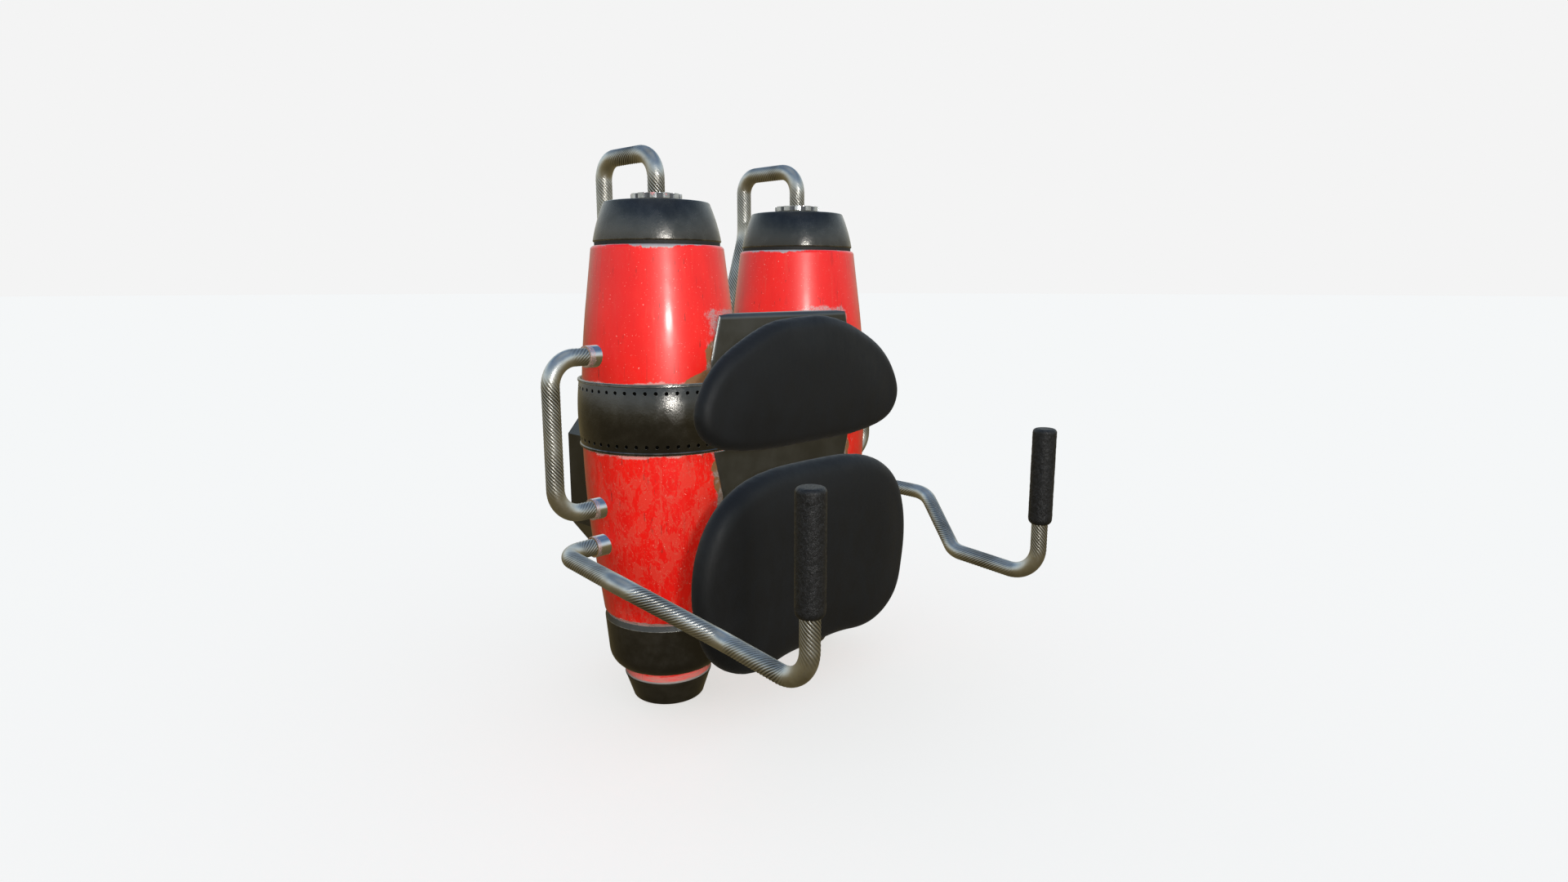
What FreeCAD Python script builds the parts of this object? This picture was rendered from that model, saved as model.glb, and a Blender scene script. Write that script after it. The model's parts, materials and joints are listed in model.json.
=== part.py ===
"""Twin-tank back unit: two red tanks, formed pipes, back plate with cushions, control arms, rear casing.

Frame: millimetres, +Z up, +X to the right, the cushions and arms face -Y.
Origin: centre of the unit's footprint box, on the surface that the two foot caps stand on.
Most sub-parts are drawn with the tank axes in the plane Y = 0 and moved back by tank_y.
"""
import FreeCAD
import Part
import Sketcher
import math
import os
from FreeCAD import Placement, Rotation, Vector

doc = FreeCAD.newDocument("BackUnit")
sheet = doc.addObject("Spreadsheet::Sheet", "Dimensions")

DIMENSIONS = {
    # where the tanks stand
    "tank_x": 154.3,
    "tank_y": 123.15,
    # tank shell
    "neck_radius": 70.0,
    "neck_bottom": 42.0,
    "shoulder_z": 155.0,
    "shoulder_radius": 99.5,
    "belly_radius": 123.0,
    "belly_z": 436.0,
    "shell_top": 720.0,
    "shell_top_radius": 100.0,
    "shell_wall": 1.5,
    # inner pressure cylinder
    "cylinder_radius": 82.0,
    "cylinder_wall": 5.0,
    "cylinder_bottom": 92.0,
    "cylinder_top": 690.0,
    "cylinder_neck_radius": 22.0,
    "cylinder_neck_top": 724.0,
    # foot cap and bottom band
    "foot_radius": 57.0,
    "band_foot_z": 59.4,
    # middle band
    "belt_bottom": 420.0,
    "belt_top": 523.5,
    "belt_inner": 123.4,
    "belt_outer": 128.6,
    "belt_end_radius": 125.6,
    "belt_lip_radius": 127.2,
    "belt_lip_height": 3.5,
    "belt_hole_radius": 2.8,
    "belt_hole_floor": 124.2,
    "belt_hole_inset": 13.0,
    "belt_holes": 52,
    # top cap, seal and valve
    "seal_height": 5.6,
    "cap_bottom_radius": 96.4,
    "cap_top_radius": 79.4,
    "cap_height": 58.2,
    "cap_wall": 5.0,
    "boss_radius": 16.0,
    "boss_top": 796.2,
    "wheel_radius": 38.5,
    "wheel_height": 7.6,
    "wheel_lobes": 12,
    # pipes
    "top_pipe_radius": 13.0,
    "top_pipe_crown": 858.4,
    "top_pipe_back": 135.0,
    "side_pipe_radius": 13.0,
    "side_pipe_reach": 194.7,
    "side_pipe_high": 561.0,
    "side_pipe_low": 334.0,
    "pipe_wall": 1.8,
    "pipe_inner_end": 100.0,
    # collars
    "collar_radius": 16.0,
    "collar_inner_end": 104.0,
    "collar_outer_end": 136.5,
    # control arms
    "arm_radius": 13.0,
    "arm_z": 276.0,
    "arm_bush_radius": 14.4,
    "arm_reach_side": 199.3,
    "grip_reach_side": 122.8,
    "grip_reach_front": 427.6,
    "grip_radius": 19.2,
    "grip_bottom": 281.2,
    "grip_top": 437.7,
    "sleeve_radius": 14.6,
    "running_gap": 0.05,
    # back plate
    "plate_front": 125.5,
    "plate_depth": 24.0,
    "plate_sheet": 6.0,
    "plate_rim_round": 8.0,
    # boards and cushions
    "upper_board_depth": 25.0,
    "lower_board_depth": 33.0,
    "upper_pad_depth": 36.0,
    "lower_pad_depth": 42.0,
    # rear casing
    "casing_front": 115.5,
    "casing_back": 193.1,
    "cover_depth": 5.0,
    "casing_half_width": 203.5,
    "casing_top": 520.0,
    "casing_bottom": 146.0,
    "casing_wall": 6.0,
    "tank_clearance_radius": 129.5,
    "union_x": 92.0,
}

for row, (alias, value) in enumerate(DIMENSIONS.items(), start=1):
    cell = "B%d" % row
    sheet.set("A%d" % row, alias)
    sheet.set(cell, str(value))
    sheet.setAlias(cell, alias)
doc.recompute()


class Size:
    """A length together with the sheet formula that gives it."""

    def __init__(self, value, text):
        self.value = value
        self.text = text

    def join(self, other, sign, value):
        return Size(value, "(%s %s %s)" % (self.text, sign, formula(other)))

    def __add__(self, other):
        return self.join(other, "+", self.value + number(other))

    def __sub__(self, other):
        return self.join(other, "-", self.value - number(other))

    def __mul__(self, other):
        return self.join(other, "*", self.value * number(other))

    def __neg__(self):
        return Size(-self.value, "(0 - %s)" % self.text)


def number(size):
    return size.value if isinstance(size, Size) else float(size)


def formula(size):
    return size.text if isinstance(size, Size) else "%.6f" % size


def dim(alias):
    return Size(float(sheet.get(alias)), "Dimensions.%s" % alias)


def bind(thing, path, size):
    thing.setExpression(path, formula(size))


def place(thing, x, y, z, turn=0.0):
    """Puts a finished sub-part at x, y, z, turned about Z, with the place bound to the sheet."""
    thing.Placement = Placement(Vector(number(x), number(y), number(z)), Rotation(Vector(0, 0, 1), turn))
    for axis, size in (("x", x), ("y", y), ("z", z)):
        if isinstance(size, Size):
            bind(thing, "Placement.Base.%s" % axis, size)


# --- PartDesign helpers -------------------------------------------------------------------------

class Through:
    """Marks a point that the arc between its two neighbours passes through."""

    def __init__(self, x, y):
        self.x = x
        self.y = y


def new_body(label):
    body = doc.addObject("PartDesign::Body", label)
    body.Label = label
    return body


def origin_feature(body, role):
    return next(item for item in body.Origin.OriginFeatures if item.Role == role)


def new_sketch(body, role, offset=0.0):
    """Sketch on one of the body's origin planes, moved along the plane's normal by offset."""
    sketch = body.newObject("Sketcher::SketchObject", body.Name + "Sketch")
    sketch.AttachmentSupport = [(origin_feature(body, role), "")]
    sketch.MapMode = "FlatFace"
    sketch.AttachmentOffset = Placement(Vector(0, 0, number(offset)), Rotation())
    if isinstance(offset, Size):
        bind(sketch, "AttachmentOffset.Base.z", offset)
    return sketch


def pin_point(sketch, geometry, end, x, y):
    """Dimensions one sketch point from the sketch's origin."""
    for kind, axis, size in (("DistanceX", -2, x), ("DistanceY", -1, y)):
        if abs(number(size)) < 1e-9:
            sketch.addConstraint(Sketcher.Constraint("PointOnObject", geometry, end, axis))
            continue
        index = sketch.addConstraint(Sketcher.Constraint(kind, -1, 1, geometry, end, number(size)))
        if isinstance(size, Size):
            bind(sketch, "Constraints[%d]" % index, size)


def draw_outline(sketch, corners):
    """Adds a closed outline of lines and arcs to the sketch, each corner dimensioned."""
    places = [i for i, corner in enumerate(corners) if not isinstance(corner, Through)]
    ends = []
    for i in places:
        x, y = corners[i]
        start = Vector(number(x), number(y), 0)
        step = corners[(i + 1) % len(corners)]
        bulge = None
        if isinstance(step, Through):
            bulge = Vector(number(step.x), number(step.y), 0)
            step = corners[(i + 2) % len(corners)]
        stop = Vector(number(step[0]), number(step[1]), 0)
        curve = Part.Arc(start, bulge, stop) if bulge else Part.LineSegment(start, stop)
        geometry = sketch.addGeometry(curve, False)
        first = 1 if sketch.getPoint(geometry, 1).distanceToPoint(start) < 1e-6 else 2
        ends.append((geometry, first, 3 - first))
        pin_point(sketch, geometry, first, x, y)
        if bulge:
            radius = sketch.Geometry[geometry].Radius
            sketch.addConstraint(Sketcher.Constraint("Radius", geometry, radius))
    for (before, _, last), (after, first, _) in zip(ends, ends[1:] + ends[:1]):
        sketch.addConstraint(Sketcher.Constraint("Coincident", before, last, after, first))


def draw_circle(sketch, x, y, radius):
    centre = Vector(number(x), number(y), 0)
    circle = sketch.addGeometry(Part.Circle(centre, Vector(0, 0, 1), number(radius)), False)
    pin_point(sketch, circle, 3, x, y)
    index = sketch.addConstraint(Sketcher.Constraint("Radius", circle, number(radius)))
    if isinstance(radius, Size):
        bind(sketch, "Constraints[%d]" % index, radius)


def draw_box(sketch, x0, y0, x1, y1):
    draw_outline(sketch, [(x0, y0), (x1, y0), (x1, y1), (x0, y1)])


def turned(label, corners):
    """Body turned about Z from a closed profile of (radius, height) corners."""
    body = new_body(label)
    sketch = new_sketch(body, "XZ_Plane")
    draw_outline(sketch, corners)
    turn = body.newObject("PartDesign::Revolution", body.Name + "Turn")
    turn.Profile = sketch
    turn.ReferenceAxis = (sketch, ["V_Axis"])
    turn.Angle = 360
    return body


def extrude(body, sketch, length, backwards=False):
    pad = body.newObject("PartDesign::Pad", body.Name + "Pad")
    pad.Profile = sketch
    bind(pad, "Length", length)
    pad.Reversed = backwards
    return pad


def pocket(body, sketch, length, backwards=False):
    cut = body.newObject("PartDesign::Pocket", body.Name + "Pocket")
    cut.Profile = sketch
    bind(cut, "Length", length)
    cut.Reversed = backwards
    return cut


def repeat_round(body, feature, count):
    """Repeats a feature evenly about the body's Z axis."""
    ring = body.newObject("PartDesign::PolarPattern", body.Name + "Ring")
    ring.Originals = [feature]
    ring.Axis = (origin_feature(body, "Z_Axis"), [""])
    ring.Angle = 360
    bind(ring, "Occurrences", count)
    body.Tip = ring
    return ring


def dress_edges(body, kind, size, base, names):
    dress = body.newObject("PartDesign::" + kind, body.Name + kind)
    dress.Base = (base, names)
    setattr(dress, {"Fillet": "Radius", "Chamfer": "Size"}[kind], size)
    body.Tip = dress


# --- tubes --------------------------------------------------------------------------------------

def bent_line(points, radii):
    """Straight runs joined by tangent arcs; radii gives the bend at each inner point."""
    edges = []
    start = points[0]
    for corner, after, radius in zip(points[1:-1], points[2:], radii):
        inward = (start - corner).normalize()
        onward = (after - corner).normalize()
        half_turn = (math.pi - inward.getAngle(onward)) / 2
        reach = radius * math.tan(half_turn)
        arc_start = corner + inward * reach
        arc_stop = corner + onward * reach
        middle = (inward + onward).normalize()
        bulge = corner + middle * (radius / math.cos(half_turn) - radius)
        edges.append(Part.LineSegment(start, arc_start).toShape())
        edges.append(Part.Arc(arc_start, bulge, arc_stop).toShape())
        start = arc_stop
    edges.append(Part.LineSegment(start, points[-1]).toShape())
    return Part.Wire(edges)


def rod(line, radius):
    first = line.Edges[0]
    direction = first.tangentAt(first.FirstParameter)
    ring = Part.Wire(Part.makeCircle(radius, first.valueAt(first.FirstParameter), direction))
    solid = line.makePipeShell([ring], True, False)
    expected = math.pi * radius ** 2 * line.Length
    if abs(solid.Volume - expected) > 0.01 * expected:
        raise ValueError("bent rod has the wrong volume")
    return solid


def bent_tube(label, points, radii, radius, wall, x, y):
    """Hollow bent tube whose points are given about the place x, y."""
    line = bent_line(points, radii)
    shape = rod(line, radius).cut(rod(line, radius - wall))
    return own_shape(label, shape, x, y)


def own_shape(label, shape, x, y, z=0.0):
    """Sub-part whose shape is worked out here; its place is bound to the sheet."""
    thing = doc.addObject("Part::Feature", label)
    thing.Label = label
    thing.Shape = shape
    place(thing, x, y, z)
    return thing


# --- tank ---------------------------------------------------------------------------------------

SIDES = (("left", -1), ("right", 1))
tank_y = dim("tank_y")


def tank_x(sign):
    return dim("tank_x") if sign > 0 else -dim("tank_x")


def on_tank(body, sign):
    """Tank pieces are drawn for the right side; the left side is the same piece turned half round."""
    place(body, tank_x(sign), tank_y, 0.0, 0.0 if sign > 0 else 180.0)


def tank_shell(side, sign):
    wall = dim("shell_wall")
    neck = dim("neck_radius")
    foot = dim("neck_bottom")
    shoulder = dim("shoulder_radius")
    shoulder_z = dim("shoulder_z")
    belly = dim("belly_radius")
    belly_z = dim("belly_z")
    top = dim("shell_top")
    top_radius = dim("shell_top_radius")
    cone = 11.3
    run = 189.0
    neck_hole = 24.0
    corners = [
        (neck, foot),
        (neck, foot + 20.0),
        (shoulder - 11.2, foot + 42.0),
        (shoulder - 5.9, shoulder_z - 6.4),
        (shoulder - 3.6, shoulder_z - 5.4),
        (shoulder, shoulder_z),
        (belly - cone, belly_z - run),
        Through(belly, belly_z),
        (belly - cone, belly_z + run),
        (top_radius + 0.5, top - 5.5),
        Through(top_radius - 1.2, top - 1.6),
        (top_radius - 5.1, top),
        (neck_hole, top),
        (neck_hole, top - wall),
        (top_radius - 5.0, top - wall),
        Through(top_radius - 2.3, top - 2.7),
        (top_radius - 1.0, top - 5.6),
        (belly - wall - cone, belly_z + run),
        Through(belly - wall, belly_z),
        (belly - wall - cone, belly_z - run),
        (shoulder - wall, shoulder_z + 0.5),
        (shoulder - 4.6, shoulder_z - 4.2),
        (shoulder - 7.3, shoulder_z - 5.4),
        (shoulder - 12.6, foot + 42.7),
        (neck - wall, foot + 20.6),
        (neck - wall, foot),
    ]
    body = turned(side + "_tank_shell", corners)
    holes = new_sketch(body, "YZ_Plane")
    for height in ("side_pipe_high", "side_pipe_low", "arm_z"):
        draw_circle(holes, 0.0, dim(height), dim("collar_radius"))
    pocket(body, holes, belly + 10.0, backwards=True)
    on_tank(body, sign)


def inner_cylinder(side, sign):
    radius = dim("cylinder_radius")
    wall = dim("cylinder_wall")
    bottom = dim("cylinder_bottom")
    top = dim("cylinder_top")
    neck = dim("cylinder_neck_radius")
    neck_top = dim("cylinder_neck_top")
    dome = 60.0
    bore = 14.0
    low_bulge = (radius.value * 0.78, bottom.value + 14.0)
    high_bulge = (radius.value * 0.82, top.value - 16.0)
    corners = [
        (0.0, bottom),
        (20.0, bottom),
        Through(*low_bulge),
        (radius, bottom + dome),
        (radius, top - dome),
        Through(*high_bulge),
        (neck, top),
        (neck, neck_top),
        (bore, neck_top),
        (bore, top - 4.0),
        Through(high_bulge[0] - 4.5, high_bulge[1] - 4.5),
        (radius - wall, top - dome),
        (radius - wall, bottom + dome),
        Through(low_bulge[0] - 4.5, low_bulge[1] + 4.5),
        (18.0, bottom + wall),
        (0.0, bottom + wall),
    ]
    on_tank(turned(side + "_inner_cylinder", corners), sign)


def foot_cap(side, sign):
    foot = dim("foot_radius")
    neck = dim("neck_radius")
    top = dim("neck_bottom")
    wall = 5.0
    corners = [
        (0.0, 0.0),
        (foot - 2.5, 0.0),
        Through(foot - 0.3, 1.1),
        (foot + 0.8, 3.4),
        (neck - 0.8, top - 5.0),
        Through(neck + 0.2, top - 3.0),
        (neck + 0.4, top),
        (neck - 2.4, top),
        (neck - 2.4, top + 14.0),
        (neck - 6.5, top + 14.0),
        (neck - 6.5, top - 4.0),
        (foot - 5.0, wall + 1.0),
        (0.0, wall + 1.0),
    ]
    on_tank(turned(side + "_foot_cap", corners), sign)


def bottom_band(side, sign):
    neck = dim("neck_radius")
    foot = dim("band_foot_z")
    shoulder = dim("shoulder_radius")
    shoulder_z = dim("shoulder_z")
    corners = [
        (neck + 0.4, foot),
        (neck + 11.0, foot + 2.0),
        Through(shoulder - 9.2, foot + 13.4),
        (shoulder - 5.5, foot + 26.6),
        (shoulder - 0.6, shoulder_z - 14.5),
        (shoulder - 3.7, shoulder_z - 6.7),
        (shoulder - 5.2, shoulder_z - 6.7),
        (shoulder - 10.6, foot + 24.0),
        (neck + 0.4, foot + 2.2),
    ]
    on_tank(turned(side + "_bottom_band", corners), sign)


def middle_band(side, sign):
    """Barrel-shaped belt with a raised lip at each end and two rows of blind holes."""
    bottom = dim("belt_bottom")
    top = dim("belt_top")
    inner = dim("belt_inner")
    end = dim("belt_end_radius")
    lip = dim("belt_lip_radius")
    lip_height = dim("belt_lip_height")
    middle = (bottom.value + top.value) / 2
    corners = [
        (inner, bottom),
        (lip - 0.8, bottom),
        (lip, bottom + 0.8),
        (lip, bottom + lip_height),
        (end, bottom + lip_height + 1.2),
        Through(dim("belt_outer"), middle),
        (end, top - lip_height - 1.2),
        (lip, top - lip_height),
        (lip, top - 0.8),
        (lip - 0.8, top),
        (inner, top),
    ]
    body = turned(side + "_middle_band", corners)
    holes = new_sketch(body, "XZ_Plane", dim("belt_hole_floor"))
    inset = dim("belt_hole_inset")
    draw_circle(holes, 0.0, bottom + inset, dim("belt_hole_radius"))
    draw_circle(holes, 0.0, top - inset, dim("belt_hole_radius"))
    punched = pocket(body, holes, 20.0, backwards=True)
    repeat_round(body, punched, dim("belt_holes"))
    on_tank(body, sign)


def cap_seal(side, sign):
    bottom = dim("shell_top")
    outer = dim("cap_bottom_radius")
    corners = [
        (outer - 18.0, bottom),
        (outer - 1.8, bottom),
        (outer - 1.8, bottom + dim("seal_height")),
        (outer - 18.0, bottom + dim("seal_height")),
    ]
    on_tank(turned(side + "_cap_seal", corners), sign)


def top_cap(side, sign):
    bottom = dim("shell_top") + dim("seal_height")
    height = dim("cap_height")
    wall = dim("cap_wall")
    low = dim("cap_bottom_radius")
    high = dim("cap_top_radius")
    hole = dim("boss_radius") + 0.4
    corners = [
        (low - 1.6, bottom),
        Through(low - 0.45, bottom + 0.55),
        (low, bottom + 1.8),
        Through(low - 6.6, bottom + 28.9),
        (high + 0.9, bottom + height - 3.0),
        Through(high - 0.4, bottom + height - 0.7),
        (high - 2.6, bottom + height),
        (hole, bottom + height),
        (hole, bottom + height - wall),
        (high - wall, bottom + height - wall),
        (low - wall - 2.0, bottom),
    ]
    on_tank(turned(side + "_top_cap", corners), sign)


def valve_body(side, sign):
    neck_top = dim("cylinder_neck_top")
    boss = dim("boss_radius")
    boss_top = dim("boss_top")
    port = dim("top_pipe_radius")
    spigot = 14.0
    flange = 28.0
    barrel = 22.0
    corners = [
        (5.0, neck_top - 26.0),
        (spigot, neck_top - 26.0),
        (spigot, neck_top),
        (flange, neck_top),
        (flange, neck_top + 8.0),
        (barrel, neck_top + 12.0),
        (barrel, boss_top - 26.0),
        (boss, boss_top - 20.0),
        (boss, boss_top),
        (port, boss_top),
        (port, boss_top - 18.0),
        (5.0, boss_top - 18.0),
    ]
    on_tank(turned(side + "_valve_body", corners), sign)


def valve_wheel(side, sign):
    """Lobed hand wheel that turns on the valve's boss."""
    body = new_body(side + "_valve_wheel")
    floor = dim("boss_top") - dim("wheel_height") - 0.1
    disc = new_sketch(body, "XY_Plane", floor)
    draw_circle(disc, 0.0, 0.0, dim("wheel_radius"))
    draw_circle(disc, 0.0, 0.0, dim("boss_radius") + dim("running_gap"))
    extrude(body, disc, dim("wheel_height"))
    notch = new_sketch(body, "XY_Plane", floor)
    depth = 4.2
    half_width = 4.6
    outer = dim("wheel_radius")
    draw_outline(notch, [
        (outer + 3.0, -half_width - 1.4),
        (outer - depth + 1.4, -half_width),
        Through(outer.value - depth, 0.0),
        (outer - depth + 1.4, half_width),
        (outer + 3.0, half_width + 1.4),
    ])
    cut = pocket(body, notch, dim("wheel_height") + 2.0, backwards=True)
    repeat_round(body, cut, dim("wheel_lobes"))
    on_tank(body, sign)


def wheel_retainer(side, sign):
    port = dim("top_pipe_radius")
    top = dim("boss_top")
    corners = [(port, top), (port + 6.5, top), (port + 6.5, top + 1.4), (port, top + 1.4)]
    on_tank(turned(side + "_wheel_retainer", corners), sign)


# --- pipes and collars --------------------------------------------------------------------------

def top_pipe(side, sign):
    """Up out of the valve, back over the cap, down behind the tank and in towards the casing."""
    radius = number(dim("top_pipe_radius"))
    crown = number(dim("top_pipe_crown"))
    back = number(dim("top_pipe_back"))
    inward = sign * (number(dim("union_x")) - number(dim("tank_x")))
    foot = number(dim("boss_top")) - 18.0
    casing_top = number(dim("casing_top"))
    points = [
        Vector(0, 0, foot),
        Vector(0, 0, crown),
        Vector(0, back, crown),
        Vector(0, back, 752.0),
        Vector(inward, back, casing_top + 30.0),
        Vector(inward, back, casing_top - 19.0),
    ]
    bends = (38.0, 32.0, 90.0, 60.0)
    bent_tube(side + "_top_pipe", points, bends, radius, number(dim("pipe_wall")), tank_x(sign), tank_y)


def side_loop(side, sign):
    radius = number(dim("side_pipe_radius"))
    near = sign * number(dim("pipe_inner_end"))
    far = sign * number(dim("side_pipe_reach"))
    high = number(dim("side_pipe_high"))
    low = number(dim("side_pipe_low"))
    bend = 40.0
    points = [Vector(near, 0, high), Vector(far, 0, high), Vector(far, 0, low), Vector(near, 0, low)]
    wall = number(dim("pipe_wall"))
    bent_tube(side + "_side_loop", points, (bend, bend), radius, wall, tank_x(sign), tank_y)


def collar(label, sign, height, bore):
    """Short socket through the tank's side, round a pipe or an arm."""
    body = new_body(label)
    inner_end = dim("collar_inner_end")
    ring = new_sketch(body, "YZ_Plane", inner_end)
    draw_circle(ring, 0.0, height, dim("collar_radius"))
    draw_circle(ring, 0.0, height, bore)
    extrude(body, ring, dim("collar_outer_end") - inner_end)
    on_tank(body, sign)


# --- control arm --------------------------------------------------------------------------------

def arm_bush(side, sign):
    body = new_body(side + "_arm_bush")
    inner_end = dim("collar_inner_end")
    ring = new_sketch(body, "YZ_Plane", inner_end)
    draw_circle(ring, 0.0, dim("arm_z"), dim("arm_bush_radius"))
    draw_circle(ring, 0.0, dim("arm_z"), dim("arm_radius") + dim("running_gap"))
    extrude(body, ring, dim("collar_outer_end") - inner_end)
    on_tank(body, sign)


def arm_clip(side, sign):
    """Clip round the arm's inner end that keeps it in its collar."""
    body = new_body(side + "_arm_clip")
    thickness = 2.0
    ring = new_sketch(body, "YZ_Plane", dim("collar_inner_end") - thickness - 0.1)
    draw_circle(ring, 0.0, dim("arm_z"), dim("arm_radius") + 3.5)
    draw_circle(ring, 0.0, dim("arm_z"), dim("arm_radius"))
    extrude(body, ring, thickness)
    on_tank(body, sign)


def arm_tube(side, sign):
    """Out of the collar, forward past the tank, in and down, forward again and up into the grip."""
    radius = number(dim("arm_radius"))
    pivot_z = number(dim("arm_z"))
    out = sign * number(dim("arm_reach_side"))
    grip = sign * number(dim("grip_reach_side"))
    front = -number(dim("grip_reach_front"))
    points = [
        Vector(sign * 98.0, 0, pivot_z),
        Vector(sign * 188.0, 0, pivot_z),
        Vector(out, -152.5, pivot_z - 4.5),
        Vector(sign * 118.5, -270.0, pivot_z - 73.8),
        Vector(grip, front, pivot_z - 87.2),
        Vector(grip, front, number(dim("grip_top")) - 8.5),
    ]
    bends = (35.0, 57.0, 42.0, 47.0)
    bent_tube(side + "_arm_tube", points, bends, radius, number(dim("pipe_wall")), tank_x(sign), tank_y)


def grip_place(body, sign):
    across = dim("tank_x") + dim("grip_reach_side")
    place(body, across if sign > 0 else -across, tank_y - dim("grip_reach_front"), 0.0)


def grip_sleeve(side, sign):
    inner = dim("arm_radius") + dim("running_gap")
    outer = dim("sleeve_radius")
    low = dim("grip_bottom") + 4.0
    high = dim("grip_top") - 5.5
    corners = [(inner, low), (outer, low), (outer, high), (inner, high)]
    grip_place(turned(side + "_grip_sleeve", corners), sign)


def hand_grip(side, sign):
    outer = dim("grip_radius")
    bore = dim("sleeve_radius")
    low = dim("grip_bottom")
    high = dim("grip_top")
    lip = dim("arm_radius") + 0.6
    corners = [
        (lip, low),
        Through(outer - 1.3, low + 3.6),
        (outer, low + 8.5),
        (outer, high - 6.0),
        Through(outer - 1.8, high - 1.8),
        (outer - 6.0, high),
        (0.0, high),
        (0.0, high - 5.5),
        (bore, high - 5.5),
        (bore, low + 4.0),
        (lip, low + 4.0),
    ]
    grip_place(turned(side + "_hand_grip", corners), sign)


# --- back plate, beams, boards and cushions -------------------------------------------------------

BEAM_LEVELS = (("upper", 493.0), ("middle", 339.0), ("lower", 185.0))
BEAM_HALF_WIDTH = 21.0
BEAM_HALF_HEIGHT = 17.0
BOLT_X = 11.0
BOLT_RADIUS = 4.0
BOLT_HEAD_RADIUS = 7.0
BOLT_HEAD = 3.6
SCREW_RADIUS = 2.5
SCREW_SPOTS = ((58.0, 470.0), (58.0, 560.0), (70.0, 170.0), (70.0, 340.0))
PLATE_EDGE = ((144.0, 621.0), (161.0, 556.0), (162.5, 470.0), (158.0, 415.0), (140.0, 350.0), (118.0, 120.0))


def both_sides(edge):
    """Closed outline from the corners of its right half, top to bottom."""
    return list(edge) + [(-x, z) for x, z in reversed(edge)]


def front_faces_edges(base, y):
    """Names of the straight edges that lie in the plane Y = y."""
    names = []
    for index, edge in enumerate(base.Shape.Edges, start=1):
        if all(abs(vertex.Y - y) < 0.01 for vertex in edge.Vertexes):
            names.append("Edge%d" % index)
    return names


def back_plate():
    """Pressed plate with a rounded rim and side walls that run back to the tanks."""
    body = new_body("back_plate")
    front = dim("plate_front")
    depth = dim("plate_depth")
    sheet_depth = dim("plate_sheet")
    face = new_sketch(body, "XZ_Plane", front - depth)
    draw_outline(face, both_sides(PLATE_EDGE))
    pad = extrude(body, face, depth)
    doc.recompute()
    rim_round = number(dim("plate_rim_round"))
    dress_edges(body, "Fillet", rim_round, pad, front_faces_edges(pad, -number(front)))
    hollow = new_sketch(body, "XZ_Plane", front - depth)
    inset = 9.0
    inner_edge = [(x - inset, z) for x, z in PLATE_EDGE]
    inner_edge[0] = (inner_edge[0][0], PLATE_EDGE[0][1] - inset)
    inner_edge[-1] = (inner_edge[-1][0], PLATE_EDGE[-1][1] + inset)
    draw_outline(hollow, both_sides(inner_edge))
    pocket(body, hollow, depth - sheet_depth, backwards=True)
    saddles = new_sketch(body, "XY_Plane")
    for side, sign in SIDES:
        draw_circle(saddles, tank_x(sign), 0.0, dim("belly_radius") + 0.5)
    pocket(body, saddles, 700.0, backwards=True)
    belts = new_sketch(body, "XY_Plane", dim("belt_bottom") - 1.5)
    for side, sign in SIDES:
        draw_circle(belts, tank_x(sign), 0.0, dim("belt_outer") + 0.5)
    pocket(body, belts, dim("belt_top") - dim("belt_bottom") + 3.0, backwards=True)
    holes = new_sketch(body, "XZ_Plane", front + 1.0)
    for x in (-BOLT_X, BOLT_X):
        for name, z in BEAM_LEVELS:
            draw_circle(holes, x, z, BOLT_RADIUS + 0.2)
    for x, z in SCREW_SPOTS:
        draw_circle(holes, x, z, SCREW_RADIUS + 0.2)
        draw_circle(holes, -x, z, SCREW_RADIUS + 0.2)
    pocket(body, holes, sheet_depth + 2.0)
    sinks = new_sketch(body, "XZ_Plane", front + 1.0)
    for x in (-BOLT_X, BOLT_X):
        for name, z in BEAM_LEVELS:
            draw_circle(sinks, x, z, BOLT_HEAD_RADIUS + 0.2)
    pocket(body, sinks, 1.0 + BOLT_HEAD)
    place(body, 0.0, tank_y, 0.0)


def cross_beam(name, level):
    """Box beam between the tanks, closed at the plate end, open at the casing end."""
    body = new_body(name + "_cross_beam")
    front = dim("plate_front") - dim("plate_sheet")
    length = front + dim("casing_front")
    end_wall = 8.0
    section = new_sketch(body, "XZ_Plane", -dim("casing_front"))
    low = level - BEAM_HALF_HEIGHT
    high = level + BEAM_HALF_HEIGHT
    draw_box(section, -BEAM_HALF_WIDTH, low, BEAM_HALF_WIDTH, high)
    extrude(body, section, length)
    wall = 3.5
    hollow = new_sketch(body, "XZ_Plane", -dim("casing_front"))
    draw_box(hollow, -BEAM_HALF_WIDTH + wall, low + wall, BEAM_HALF_WIDTH - wall, high - wall)
    pocket(body, hollow, length - end_wall, backwards=True)
    holes = new_sketch(body, "XZ_Plane", front)
    for x in (-BOLT_X, BOLT_X):
        draw_circle(holes, x, level, BOLT_RADIUS)
    pocket(body, holes, end_wall)
    place(body, 0.0, tank_y, 0.0)


def plate_bolts():
    bolts = []
    front = -number(dim("plate_front"))
    for name, z in BEAM_LEVELS:
        for x in (-BOLT_X, BOLT_X):
            head = Part.makeCylinder(BOLT_HEAD_RADIUS, BOLT_HEAD, Vector(x, front, z), Vector(0, 1, 0))
            shank = Part.makeCylinder(BOLT_RADIUS, 18.0, Vector(x, front, z), Vector(0, 1, 0))
            bolts.append(head.fuse(shank).removeSplitter())
    own_shape("plate_bolts", Part.makeCompound(bolts), 0.0, tank_y)


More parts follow.
